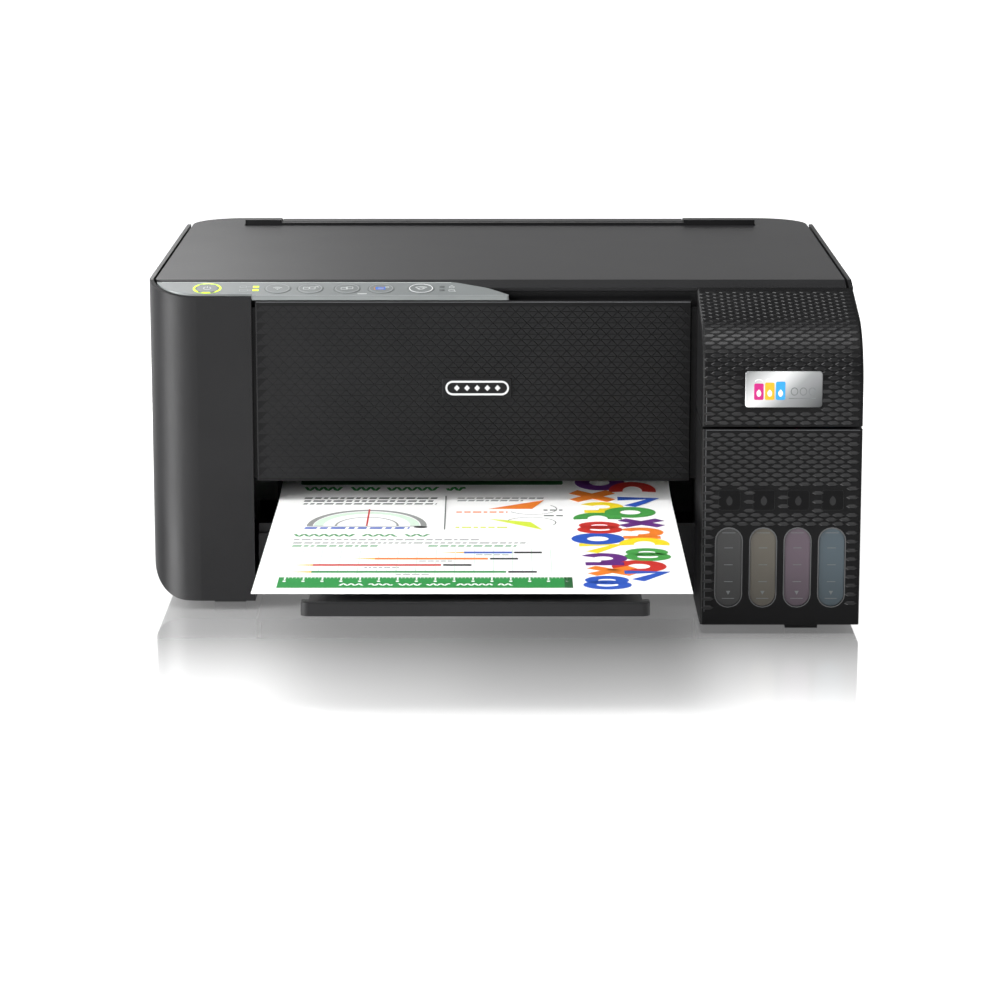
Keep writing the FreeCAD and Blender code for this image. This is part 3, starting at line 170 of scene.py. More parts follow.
def printed(name, hexColour, roughness=0.5):
    # a pad printed ink film: flat in colour, a little uneven in gloss
    mat, tree = newTree(name)
    place = addNode(tree, "ShaderNodeTexCoord").outputs["Object"]
    cover = addNode(tree, "ShaderNodeTexNoise", {"Vector": place, "Scale": 900.0, "Detail": 2})
    tone = addNode(tree, "ShaderNodeValToRGB", {"Fac": cover.outputs["Fac"]})
    red, green, blue = (int(hexColour[i:i + 2], 16) for i in (1, 3, 5))
    paler = "#%02x%02x%02x" % tuple(min(255, c + 6) for c in (red, green, blue))
    colourStops(tone.color_ramp, ((0.4, hexColour), (0.65, paler)))
    surface = addNode(tree, "ShaderNodeBsdfPrincipled", {
        "Base Color": tone.outputs["Color"], "Roughness": roughness, "IOR": 1.5})
    addNode(tree, "ShaderNodeOutputMaterial", {"Surface": surface.outputs["BSDF"]})
    return mat


inks = {
    "inkLegend": "#b9bcbc", "inkLegendFaint": "#939797", "inkBlue": "#3f6fc4", "inkOrange": "#c98a4a",
    "inkGrey": "#8d8f8d", "inkText": "#5d605e", "inkGreen": "#25883f", "inkDarkGreen": "#1d5a2c",
    "inkPurple": "#5e2277", "inkLeaf": "#3f9440", "inkYellow": "#ecd31a", "inkSky": "#2350b4",
    "inkTangerine": "#e67a20", "inkRed": "#c12a22", "inkBlack": "#161616", "inkPale": "#cfe3d2",
    "inkMark": "#d9dbdc", "inkTick": "#6f7374", "inkMagenta": "#c9127c", "inkGold": "#f4b41a",
    "inkCyan": "#2b9fe0", "inkWhite": "#f4f4f2", "inkLime": "#cfe23a",
}
made.update({name: printed(name, colour) for name, colour in inks.items()})


def lampFinish(name, lit, unlit, strength, edge):
    # acrylic light guides: lit green left of the edge, and grey where the lamp behind is off
    mat, tree = newTree(name)
    place = addNode(tree, "ShaderNodeTexCoord").outputs["Object"]
    across = addNode(tree, "ShaderNodeSeparateXYZ", {"Vector": place}).outputs["X"]
    dark = addNode(tree, "ShaderNodeMath", {0: across, 1: edge * mm},
                   operation="GREATER_THAN").outputs["Value"]
    tint = addNode(tree, "ShaderNodeMix", {0: dark, 6: linear(lit), 7: linear(unlit)}, data_type="RGBA")
    glow = addNode(tree, "ShaderNodeTexNoise", {"Vector": place, "Scale": 300.0, "Detail": 1})
    level = addNode(tree, "ShaderNodeMapRange", {
        "Value": glow.outputs["Fac"], "To Min": strength * 0.85, "To Max": strength * 1.15})
    shine = addNode(tree, "ShaderNodeMath", {
        0: level.outputs["Result"],
        1: addNode(tree, "ShaderNodeMath", {0: 1.0, 1: dark}, operation="SUBTRACT").outputs["Value"]},
        operation="MULTIPLY")
    surface = addNode(tree, "ShaderNodeBsdfPrincipled", {
        "Base Color": tint.outputs[2], "Roughness": 0.3, "IOR": 1.49,
        "Emission Color": linear(lit), "Emission Strength": shine.outputs["Value"]})
    addNode(tree, "ShaderNodeOutputMaterial", {"Surface": surface.outputs["BSDF"]})
    return mat


made["litGuide"] = lampFinish("litGuide", "#bfe22a", "#4b4e4e", 0.8, -60)


def inkTankFinish(look):
    # smoked polypropylene tanks: the ink darkens each window, and the shade ramp is painted shade, darker
    # towards the bottom of each window; the lighter rim is a painted highlight, drawn further down as an
    # outline round each window
    mat, tree = newTree("smokedTank")
    place = addNode(tree, "ShaderNodeTexCoord").outputs["Object"]
    axes = addNode(tree, "ShaderNodeSeparateXYZ", {"Vector": place})
    across = addNode(tree, "ShaderNodeMapRange", {
        "Value": axes.outputs["X"], "From Min": look["left"] * mm, "From Max": look["right"] * mm})
    hue = addNode(tree, "ShaderNodeValToRGB", {"Fac": across.outputs["Result"]})
    hue.color_ramp.interpolation = "CONSTANT"
    colourStops(hue.color_ramp, look["inks"])
    rise = addNode(tree, "ShaderNodeMapRange", {
        "Value": axes.outputs["Z"], "From Min": look["bottom"] * mm, "From Max": look["top"] * mm})
    shade = addNode(tree, "ShaderNodeValToRGB", {"Fac": rise.outputs["Result"]})
    colourStops(shade.color_ramp, look["shade"])
    cloud = addNode(tree, "ShaderNodeTexNoise", {"Vector": place, "Scale": 120.0, "Detail": 3})
    mixed = addNode(tree, "ShaderNodeMix", {0: 1.0, 6: hue.outputs["Color"], 7: shade.outputs["Color"]},
                    data_type="RGBA", blend_type="MULTIPLY")
    bump = addNode(tree, "ShaderNodeBump",
                   {"Height": cloud.outputs["Fac"], "Strength": 0.08, "Distance": 0.0005})
    surface = addNode(tree, "ShaderNodeBsdfPrincipled", {
        "Base Color": mixed.outputs[2], "Roughness": 0.32, "IOR": 1.49,
        "Normal": bump.outputs["Normal"],
        "Subsurface Weight": 0.2, "Subsurface Radius": (0.004, 0.004, 0.004), "Subsurface Scale": 1.0})
    addNode(tree, "ShaderNodeOutputMaterial", {"Surface": surface.outputs["BSDF"]})
    return mat


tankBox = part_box("ink_tanks")
made["smokedTank"] = inkTankFinish({
    "left": tankBox[0].x / mm, "right": tankBox[1].x / mm, "bottom": 14, "top": 60,
    "inks": ((0.0, "#343434"), (0.25, "#5c574d"), (0.5, "#5c4e59"), (0.75, "#47555d")),
    "shade": ((0.0, "#e0e0e0"), (0.5, "#ffffff")),
})


def clearPlate(name, hexColour):
    # clear glass or acrylic, polished
    mat, tree = newTree(name)
    place = addNode(tree, "ShaderNodeTexCoord").outputs["Object"]
    smear = addNode(tree, "ShaderNodeTexNoise", {"Vector": place, "Scale": 40.0, "Detail": 2})
    rough = addNode(tree, "ShaderNodeMapRange",
                    {"Value": smear.outputs["Fac"], "To Min": 0.0, "To Max": 0.05})
    surface = addNode(tree, "ShaderNodeBsdfPrincipled", {
        "Base Color": linear(hexColour), "Roughness": rough.outputs["Result"], "IOR": 1.52,
        "Transmission Weight": 1.0})
    addNode(tree, "ShaderNodeOutputMaterial", {"Surface": surface.outputs["BSDF"]})
    return mat


made["floatGlass"] = clearPlate("floatGlass", "#eef4f1")


def badgeFinish(look):
    # hot stamped foil plate: satin silver that darkens towards its right end
    mat, tree = newTree("foilPlate")
    place = addNode(tree, "ShaderNodeTexCoord").outputs["Object"]
    axes = addNode(tree, "ShaderNodeSeparateXYZ", {"Vector": place})
    slant = addNode(tree, "ShaderNodeMath", {0: axes.outputs["X"], 1: axes.outputs["Z"]},
                    operation="SUBTRACT")
    along = addNode(tree, "ShaderNodeMapRange", {
        "Value": slant.outputs["Value"], "From Min": look["from"] * mm, "From Max": look["to"] * mm})
    tone = addNode(tree, "ShaderNodeValToRGB", {"Fac": along.outputs["Result"]})
    colourStops(tone.color_ramp, look["stops"])
    brush = addNode(tree, "ShaderNodeTexNoise", {"Vector": place, "Scale": 1500.0, "Detail": 2})
    bump = addNode(tree, "ShaderNodeBump",
                   {"Height": brush.outputs["Fac"], "Strength": 0.1, "Distance": 0.0001})
    surface = addNode(tree, "ShaderNodeBsdfPrincipled", {
        "Base Color": tone.outputs["Color"], "Roughness": 0.4, "Metallic": 0.35,
        "Normal": bump.outputs["Normal"]})
    addNode(tree, "ShaderNodeOutputMaterial", {"Surface": surface.outputs["BSDF"]})
    return mat


made["foilPlate"] = badgeFinish({
    "from": -13, "to": 46, "stops": ((0.0, "#7f8182"), (0.35, "#f1f2f2"), (0.6, "#9b9d9e"),
                                     (1.0, "#3d3f40"))})

nodeFinish = {
    "caseAbs": ("left_side_case", "right_side_case", "rear_case", "rear_feed_housing", "paper_support",
                "feeder_guard", "base_chassis", "scanner_case",
                "scanner_top_frame", "edge_guide_left", "edge_guide_right"),
    "lidAbs": ("document_cover",),
    "panelAndGrooveShade": ("front_panel",),
    "tankAndGrooveShade": ("tank_front_case", "tank_cover"),
    "stripAbs": ("control_panel",),
    "keyAbs": ("power_button", "wireless_button", "status_button", "mono_copy_button",
               "colour_copy_button",
               "stop_button"),
    "trayAbs": ("output_tray", "tray_extension"),
    "innerAbs": ("platen", "capping_station", "carriage", "print_head", "power_inlet", "sensor_bar"),
    "gearAcetal": ("feed_gear", "transfer_gear", "eject_gear", "drive_pulley", "idler_pulley"),
    "platedSteel": ("main_frame", "carriage_rail", "screws", "star_wheels", "feed_motor",
                    "carriage_motor",
                    "power_supply", "usb_socket"),
    "circuitBoard": ("main_board",),
    "softRubber": ("rubber_feet", "feed_roller", "eject_roller", "pick_roller", "timing_belt"),
    "padFoam": ("cover_pad",),
    "coatedPaper": ("printed_sheet",),
    "capBlack": ("tank_cap_black",),
    "capYellow": ("tank_cap_yellow",),
    "capMagenta": ("tank_cap_magenta",),
    "capCyan": ("tank_cap_cyan",),
    "litGuide": ("lamp_lenses",),
    "smokedTank": ("ink_tanks",),
    "floatGlass": ("scanner_glass",),
    "foilPlate": ("tank_badge",),
    "facetAbs": ("front_mark",),
}
for finish, names in nodeFinish.items():
    for name in names:
        for held in nodes[name].material_slots:
            held.material = made[finish]
print("finishes:", len(made))


# ---- camera, floor and lights ----
cameraLook = {"place": (0, -1.92307, 0.43771), "tip": 78.18, "lens": 124.07, "sensor": 36}
camera = bpy.data.objects.new("camera", bpy.data.cameras.new("camera"))
camera.location = cameraLook["place"]
camera.rotation_euler = (math.radians(cameraLook["tip"]), 0, 0)
camera.data.lens = cameraLook["lens"]
camera.data.sensor_width = cameraLook["sensor"]
bpy.context.scene.collection.objects.link(camera)
bpy.context.scene.camera = camera

studio = {
    "floorHalf": 6.0, "floor": "#f4f4f4", "glow": 0.64, "room": 0.08, "mirror": 0.78, "backdrop": 1.0,
    "fadeNear": 0.17, "fadeFar": 0.46,
    "card": {"y": 4.5, "halfWidth": 5.0, "height": 1.5, "strength": 1.15},
    "lamps": (
        # name, place, aimed at, width, height, power
        ("overhead", (-0.4, -0.3, 2.2), (0, -0.1, 0.1), 1.8, 1.4, 48),
        ("leftStrip", (-1.45, -0.62, 0.42), (-0.15, -0.1, 0.10), 0.8, 1.0, 44),
        ("backLeft", (-0.46, 0.66, 0.56), (-0.16, -0.08, 0.17), 0.6, 0.3, 2.6),
        ("frontFill", (-1.2, -2.3, 0.9), (-0.1, -0.15, 0.1), 1.2, 0.9, 14),
        ("rightRim", (1.5, 0.1, 0.5), (0.15, -0.1, 0.1), 0.3, 1.0, 5),
    ),
}


def floorFinish():
    # a white acrylic sheet: it mirrors what stands on it, and fades to plain white away from it
    mat, tree = newTree("studioFloor")
    place = addNode(tree, "ShaderNodeTexCoord").outputs["Object"]
    axes = addNode(tree, "ShaderNodeSeparateXYZ", {"Vector": place})
    away = addNode(tree, "ShaderNodeMath", {0: axes.outputs["Y"]},
                   operation="ABSOLUTE").outputs["Value"]
    fade = addNode(tree, "ShaderNodeMapRange", {
        "Value": away, "From Min": studio["fadeNear"], "From Max": studio["fadeFar"],
        "To Min": studio["mirror"], "To Max": 0.0})
    white = addNode(tree, "ShaderNodeBsdfPrincipled", {
        "Base Color": linear(studio["floor"]), "Roughness": 0.5,
        "Emission Color": linear("#ffffff"), "Emission Strength": studio["glow"]})
    mirror = addNode(tree, "ShaderNodeBsdfGlossy", {"Color": linear("#fafafa"), "Roughness": 0.06})
    surface = addNode(tree, "ShaderNodeMixShader", {
        0: fade.outputs["Result"], 1: white.outputs["BSDF"], 2: mirror.outputs["BSDF"]})
    addNode(tree, "ShaderNodeOutputMaterial", {"Surface": surface.outputs["Shader"]})
    return mat


reach = studio["floorHalf"]
floorMesh = bpy.data.meshes.new("floor")
floorMesh.from_pydata([(-reach, -reach, 0), (reach, -reach, 0), (reach, reach, 0), (-reach, reach, 0)],
                      [],
                      [(0, 1, 2, 3)])
floorMesh.materials.append(floorFinish())
floor = bpy.data.objects.new("floor", floorMesh)
bpy.context.scene.collection.objects.link(floor)

card = studio["card"]
cardMat, cardTree = newTree("whiteCard")
glow = addNode(cardTree, "ShaderNodeEmission",
               {"Color": linear("#ffffff"), "Strength": card["strength"]})
addNode(cardTree, "ShaderNodeOutputMaterial", {"Surface": glow.outputs["Emission"]})
cardMesh = bpy.data.meshes.new("card")
cardMesh.from_pydata([(-card["halfWidth"], card["y"], 0), (card["halfWidth"], card["y"], 0),
                      (card["halfWidth"], card["y"], card["height"]),
                      (-card["halfWidth"], card["y"], card["height"])], [], [(0, 1, 2, 3)])
cardMesh.materials.append(cardMat)
backCard = bpy.data.objects.new("card", cardMesh)
bpy.context.scene.collection.objects.link(backCard)

world = bpy.data.worlds.new("studioRoom")
world.use_nodes = True
world.node_tree.nodes.clear()
seen = addNode(world.node_tree, "ShaderNodeLightPath").outputs["Is Camera Ray"]
level = addNode(world.node_tree, "ShaderNodeMapRange", {
    "Value": seen, "To Min": studio["room"], "To Max": studio["backdrop"]})
room = addNode(world.node_tree, "ShaderNodeBackground", {
    "Color": linear("#ffffff"), "Strength": level.outputs["Result"]})
addNode(world.node_tree, "ShaderNodeOutputWorld", {"Surface": room.outputs["Background"]})
bpy.context.scene.world = world
bpy.context.scene.view_settings.view_transform = "Standard"

for name, place, aim, width, height, power in studio["lamps"]:
    lamp = bpy.data.lights.new(name, "AREA")
    lamp.shape = "RECTANGLE"
    lamp.size = width
    lamp.size_y = height
    lamp.energy = power
    held = bpy.data.objects.new(name, lamp)
    held.location = place
    held.rotation_euler = (Vector(aim) - Vector(place)).to_track_quat("-Z", "Y").to_euler()
    held.visible_camera = False
    bpy.context.scene.collection.objects.link(held)
print("camera, floor and", len(studio["lamps"]), "lamps")


# ---- flat drawings, as lists of polygons in mm ----
def disc(cx, cy, rx, ry=None, steps=24):
    ry = ry or rx
    return [[(cx + rx * math.cos(math.tau * i / steps), cy + ry * math.sin(math.tau * i / steps))
             for i in range(steps)]]


def ring(cx, cy, rx, ry, width, start=0, sweep=360, steps=36):
    quads = []
    for i in range(steps):
        first, second = (math.radians(start + sweep * (i + k) / steps) for k in (0, 1))
        quad = []
        for angle, grow in ((first, 0.5), (second, 0.5), (second, -0.5), (first, -0.5)):
            quad.append((cx + (rx + grow * width) * math.cos(angle),
                         cy + (ry + grow * width) * math.sin(angle)))
        quads.append(quad)
    return quads


def bar(x0, y0, x1, y1, corner=0.0, steps=5):
    if not corner:
        return [[(x0, y0), (x1, y0), (x1, y1), (x0, y1)]]
    outline = []
    for cx, cy, turn in ((x1 - corner, y0 + corner, -90), (x1 - corner, y1 - corner, 0),
                         (x0 + corner, y1 - corner, 90), (x0 + corner, y0 + corner, 180)):
        for i in range(steps + 1):
            angle = math.radians(turn + 90 * i / steps)
            outline.append((cx + corner * math.cos(angle), cy + corner * math.sin(angle)))
    return [outline]


def stroke(points, width, closed=False):
    count = len(points)
    sides = []
    for i, (x, y) in enumerate(points):
        before = points[i - 1] if i or closed else points[i]
        after = points[(i + 1) % count] if i < count - 1 or closed else points[i]
        dx, dy = after[0] - before[0], after[1] - before[1]
        length = math.hypot(dx, dy) or 1.0
        nx, ny = -dy / length * width / 2, dx / length * width / 2
        sides.append(((x + nx, y + ny), (x - nx, y - ny)))
    spans = range(count if closed else count - 1)
    return [[sides[i][0], sides[(i + 1) % count][0], sides[(i + 1) % count][1],
             sides[i][1]] for i in spans]


def outline(x0, y0, x1, y1, corner, width):
    return stroke(bar(x0, y0, x1, y1, corner)[0], width, closed=True)


def drop(cx, cy, size):
    points = []
    for i in range(20):
        angle = math.tau * i / 20
        pinch = 1 - 0.75 * max(0, math.sin(angle)) ** 2
        points.append((cx + size * 0.62 * math.cos(angle) * pinch,
                       cy + size * (math.sin(angle) * 0.95 - 0.1)))
    return [points]


def newMesh(name, corners, faces, finish, body, faceFinish=None):
    mesh = bpy.data.meshes.new(name)
    mesh.from_pydata(corners, [], faces)
    for label in (finish if isinstance(finish, (list, tuple)) else [finish]):
        mesh.materials.append(made[label])
    if faceFinish:
        mesh.polygons.foreach_set("material_index", faceFinish)
    work = bmesh.new()
    work.from_mesh(mesh)
    bmesh.ops.recalc_face_normals(work, faces=work.faces)
    work.to_mesh(mesh)
    work.free()
    piece = bpy.data.objects.new(name, mesh)
    bpy.context.scene.collection.objects.link(piece)
    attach(piece, body)
    return piece


def layOn(name, drawing, place, body, film=0.06):
    # each drawn polygon becomes a thin film; later entries lie a little higher than earlier ones
    corners, faces, faceFinish, labels = [], [], [], []
    for finish, polygons, layer in drawing:
        if finish not in labels:
            labels.append(finish)
        for polygon in polygons:
            low = len(corners)
            count = len(polygon)
            for height in (-0.02, film + layer * 0.03):
                corners += [tuple(place(u, v, height)) for u, v in polygon]
            faces.append(list(range(low + count, low + 2 * count)))
            faces.append(list(range(low + count - 1, low - 1, -1)))
            for i in range(count):
                j = (i + 1) % count
                faces.append([low + i, low + j, low + count + j, low + count + i])
            faceFinish += [labels.index(finish)] * (count + 2)
    return newMesh(name, corners, faces, labels, body, faceFinish)


def surfaceOf(*names):
    corners, faces = [], []
    for name in names:
        mesh = nodes[name].data
        low = len(corners)
        corners += [v.co.copy() for v in mesh.vertices]
        faces += [[low + i for i in p.vertices] for p in mesh.polygons]
    return BVHTree.FromPolygons(corners, faces)


def fromAbove(tree):
    def place(u, v, height):
        hit, normal = tree.ray_cast(Vector((u * mm, v * mm, 0.4)), Vector((0, 0, -1)))[:2]
        if hit is None:
            hit, normal = tree.find_nearest(Vector((u * mm, v * mm, 0.17)))[:2]
        return hit + normal * height * mm
    return place


def fromFront(tree):
    def place(u, v, height):
        hit, normal = tree.ray_cast(Vector((u * mm, -0.6, v * mm)), Vector((0, 1, 0)))[:2]
        if hit is None:
            hit, normal = tree.find_nearest(Vector((u * mm, -0.175, v * mm)))[:2]
        return hit + normal * height * mm
    return place


# ---- control strip ----
stripTop = fromAbove(surfaceOf("control_panel", "power_button", "wireless_button", "status_button",
                               "mono_copy_button", "colour_copy_button", "stop_button", "lamp_lenses"))
strip = {"row": -110.2, "power": -155.4, "wireless": -118, "status": -100.7, "mono_copy": -81.1,
         "colour_copy": -63.1, "stop": -41.9, "ringRadius": 7.0, "ringSquash": 0.88, "keyRadius": 6.1,
         "squash": 0.93}
row = strip["row"]


def keyMark(name, edge, marks):
    x = strip[name]
    drawing = [(edge, ring(x, row, strip["keyRadius"], strip["keyRadius"] * strip["squash"], 0.42), 0)]
    for finish, polygons in marks:
        drawing.append((finish, polygons, 1))
    return layOn(name + "KeyLegend", drawing, stripTop, name + "_key")


def page(cx, cy, width=3.0, height=2.6):
    return outline(cx - width / 2, cy - height / 2, cx + width / 2, cy + height / 2, 0.4, 0.4)


powerX = strip["power"]
layOn("powerRing", [("litGuide", ring(powerX, row, strip["ringRadius"],
                                      strip["ringRadius"] * strip["ringSquash"], 1.1,
                                     steps=48), 0)],
      stripTop, "scanner_unit", film=0.15)
layOn("powerKeyLegend", [("inkLegend", ring(powerX, row, 1.9, 1.8, 0.42, 120, 300)
                         + stroke([(powerX, row + 0.2), (powerX, row + 2.4)], 0.42), 0)],
      stripTop, "power_key")
x = strip["wireless"]
keyMark("wireless", "inkLegendFaint", [("inkLegend",
                                        disc(x, row - 1.4, 0.5) + ring(x, row - 1.4, 1.7, 1.6, 0.45, 40,
                                                                       100)
                                       + ring(x, row - 1.4, 3.0, 2.8, 0.45, 40, 100))])
x = strip["status"]
keyMark("status", "inkLegendFaint", [("inkLegend", page(x - 2.1, row) + page(x + 1.1, row + 0.3)
                                     + ring(x + 2.6, row + 1.2, 1.6, 1.5, 0.4, 0, 90))])
x = strip["mono_copy"]
keyMark("mono_copy", "inkLegendFaint", [("inkLegend",
                                         page(x - 1.5, row - 0.2, 3.4) + page(x + 1.3, row + 0.5,
                                                                              3.4))])
x = strip["colour_copy"]
keyMark("colour_copy", "inkLegendFaint", [
    ("inkOrange", outline(x - 3.5, row - 1.6, x + 1.2, row + 1.5, 0.4, 0.35)),
    ("inkBlue", bar(x - 2.9, row - 1.9, x + 2.3, row + 1.7, 0.5)),
    ("inkLegend", stroke([(x - 1.6, row + 0.6), (x + 1.0, row + 0.6)], 0.4)
     + stroke([(x - 1.6, row - 0.6), (x + 1.0, row - 0.6)], 0.4)),
    ("inkLegend", ring(x + 3.2, row + 1.5, 0.9, 0.8, 0.4)),
])
x = strip["stop"]
keyMark("stop", "inkMark", [
    ("inkLegend", ring(x, row, 1.9, 1.4, 0.45, 205,
                       270) + stroke([(x - 3.0, row + 1.2), (x, row - 1.4)], 0.4)
     + stroke([(x, row - 1.4), (x + 3.0, row + 1.2)], 0.4) + ring(x, row + 0.9, 3.0, 1.2, 0.4, 0, 180)),
])
layOn("stripLegend", [
    ("inkLegendFaint", page(-136.4, row + 2.3, 3.4,
                            2.2) + stroke([(-134.3, row + 2.3), (-132.2, row + 2.3)], 0.4)
     + page(-136.0, row - 2.4, 4.2, 2.2) + ring(-133.0, row - 2.4, 0.8, 0.8, 0.35), 0),
    ("inkTick", bar(-32.4, row + 1.6, -29.2, row + 2.8, 0.3) + bar(-32.4, row - 2.8, -29.2, row - 1.6,
                                                                   0.3), 0),
    ("inkLegend", ring(-25.6, row + 2.0, 1.35, 1.1,
                       0.4) + stroke([(-26.4, row + 2.8), (-25.6, row + 4.1)], 0.4)
     + stroke([(-24.8, row + 2.8), (-25.6, row + 4.1)], 0.4)
     + page(-25.6, row - 2.5, 2.9, 2.1) + stroke([(-24.6, row - 3.4), (-23.4, row - 3.9)], 0.4), 0),
    ("inkLegend", bar(-75.4, -117.7, -70.4, -116.7, 0.3), 0),
    ("inkLegend", stroke([(-180, -102.1), (-26, -102.1), (-20, -102.7), (-14, -104.2), (-8, -106.6),
                          (-2, -110.0),
                          (4, -114.6)], 0.45), 0),
    ("inkLegendFaint", stroke([(-150, -116.9), (-131.5, -116.9)], 0.4)
     + stroke([(-129, -119.3), (2, -119.3)], 0.4), 0),
], stripTop, "scanner_unit")
print("control strip drawn")


# ---- repeated relief, laid along a profile with Geometry Nodes ----
def reliefTree():
    tree = bpy.data.node_groups.new("reliefRows", "GeometryNodeTree")
    tree.interface.new_socket(name="Profile", in_out="INPUT", socket_type="NodeSocketGeometry")
    for name, kind in (("Keep Clear", "NodeSocketObject"), ("Clearance", "NodeSocketFloat"),
                       ("Middle", "NodeSocketFloat"), ("Columns", "NodeSocketInt"),
                       ("Column Pitch", "NodeSocketFloat"), ("Rows", "NodeSocketInt"),
                       ("Row Pitch", "NodeSocketFloat"), ("Start", "NodeSocketFloat"),
                       ("Stagger", "NodeSocketFloat"), ("Corners", "NodeSocketInt"),
                       ("Turn", "NodeSocketFloat"),
                       ("Tile Width", "NodeSocketFloat"), ("Tile Height", "NodeSocketFloat"),
                       ("Rise", "NodeSocketFloat"), ("Top Share", "NodeSocketFloat"),
                       ("Faint At", "NodeSocketFloat"), ("Full At", "NodeSocketFloat"),
                       ("Faintness", "NodeSocketFloat"), ("Finish", "NodeSocketMaterial")):
        tree.interface.new_socket(name=name, in_out="INPUT", socket_type=kind)
    tree.interface.new_socket(name="Relief", in_out="OUTPUT", socket_type="NodeSocketGeometry")
    given = addNode(tree, "NodeGroupInput").outputs

    def maths(operation, *sources):
        return addNode(tree, "ShaderNodeMath", dict(enumerate(sources)),
                       operation=operation).outputs["Value"]

    curve = addNode(tree, "GeometryNodeMeshToCurve", {"Mesh": given["Profile"]}).outputs["Curve"]
    wide = maths("MULTIPLY", maths("SUBTRACT", given["Columns"], 1.0), given["Column Pitch"])
    tall = maths("MULTIPLY", maths("SUBTRACT", given["Rows"], 1.0), given["Row Pitch"])
    grid = addNode(tree, "GeometryNodeMeshGrid", {
        "Size X": wide, "Size Y": tall, "Vertices X": given["Columns"], "Vertices Y": given["Rows"]})
    at = addNode(tree, "ShaderNodeSeparateXYZ",
                 {"Vector": addNode(tree, "GeometryNodeInputPosition").outputs[0]})
    up = maths("ADD", at.outputs["Y"], maths("MULTIPLY", tall, 0.5))
    rowNumber = maths("ROUND", maths("DIVIDE", up, given["Row Pitch"]))
    shift = maths("MULTIPLY", maths("MODULO", rowNumber, 2.0), given["Stagger"])
    across = maths("ADD", maths("ADD", at.outputs["X"], given["Middle"]), shift)
    along = addNode(tree, "GeometryNodeSampleCurve", {
        "Curves": curve, "Length": maths("ADD", given["Start"], up)}, mode="LENGTH",
                    use_all_curves=True)
    spot = addNode(tree, "ShaderNodeSeparateXYZ", {"Vector": along.outputs["Position"]})
    target = addNode(tree, "ShaderNodeCombineXYZ", {
        "X": across, "Y": spot.outputs["Y"], "Z": spot.outputs["Z"]}).outputs["Vector"]
    sideways = addNode(tree, "FunctionNodeInputVector")
    sideways.vector = (1, 0, 0)
    outward = addNode(tree, "ShaderNodeVectorMath", {
        0: sideways.outputs[0], 1: along.outputs["Tangent"]},
                      operation="CROSS_PRODUCT").outputs["Vector"]
    facing = addNode(tree, "FunctionNodeAxesToRotation", {
        "Primary Axis": outward, "Secondary Axis": sideways.outputs[0]}, primary_axis="Z",
                     secondary_axis="X")
    strength = addNode(tree, "ShaderNodeMapRange", {
        "Value": across, "From Min": given["Faint At"], "From Max": given["Full At"],
        "To Min": given["Faintness"], "To Max": 1.0}).outputs["Result"]
    size = addNode(tree, "ShaderNodeCombineXYZ", {"X": 1.0, "Y": 1.0, "Z": strength}).outputs["Vector"]
    clear = addNode(tree, "GeometryNodeProximity", {
        "Geometry": addNode(tree, "GeometryNodeObjectInfo",
                            {"Object": given["Keep Clear"]}).outputs["Geometry"],
        "Sample Position": target}, target_element="FACES").outputs["Distance"]
    wanted = addNode(tree, "FunctionNodeCompare", {0: clear, 1: given["Clearance"]},
                     data_type="FLOAT", operation="GREATER_THAN").outputs["Result"]
    cone = addNode(tree, "GeometryNodeMeshCone", {
        "Vertices": given["Corners"], "Side Segments": 1, "Radius Top": given["Top Share"],
        "Radius Bottom": 1.0,
        "Depth": given["Rise"]}, fill_type="NGON")
    turned = addNode(tree, "GeometryNodeTransform", {
        "Geometry": cone.outputs["Mesh"],
        "Rotation": addNode(tree, "ShaderNodeCombineXYZ", {"Z": given["Turn"]}).outputs["Vector"]})
    tile = addNode(tree, "GeometryNodeTransform", {
        "Geometry": turned.outputs["Geometry"],
        "Scale": addNode(tree, "ShaderNodeCombineXYZ", {
            "X": given["Tile Width"], "Y": given["Tile Height"], "Z": 1.0}).outputs["Vector"]})
    placed = addNode(tree, "GeometryNodeInstanceOnPoints", {
        "Points": grid.outputs["Mesh"], "Selection": wanted, "Instance": tile.outputs["Geometry"],
        "Rotation": facing.outputs["Rotation"], "Scale": size})
    moved = addNode(tree, "GeometryNodeSetPosition",
                    {"Geometry": placed.outputs["Instances"], "Position": target})
    whole = addNode(tree, "GeometryNodeRealizeInstances", {"Geometry": moved.outputs["Geometry"]})
    finished = addNode(tree, "GeometryNodeSetMaterial", {
        "Geometry": whole.outputs["Geometry"], "Material": given["Finish"]})
    addNode(tree, "NodeGroupOutput", {"Relief": finished.outputs["Geometry"]})
    return tree


rows = reliefTree()


def sampleMask(name, boxes, depth):
    corners, faces = [], []
    for x0, z0, x1, z1 in boxes:
        low = len(corners)
        corners += [(x * mm, depth * mm, z * mm) for x, z in ((x0, z0), (x1, z0), (x1, z1), (x0, z1))]
        faces.append((low, low + 1, low + 2, low + 3))
    mesh = bpy.data.meshes.new(name)
    mesh.from_pydata(corners, [], faces)
    mask = bpy.data.objects.new(name, mesh)
    bpy.context.scene.collection.objects.link(mask)
    return mask


farAway = sampleMask("farAway", [(5000, 5000, 5001, 5001)], 5000)


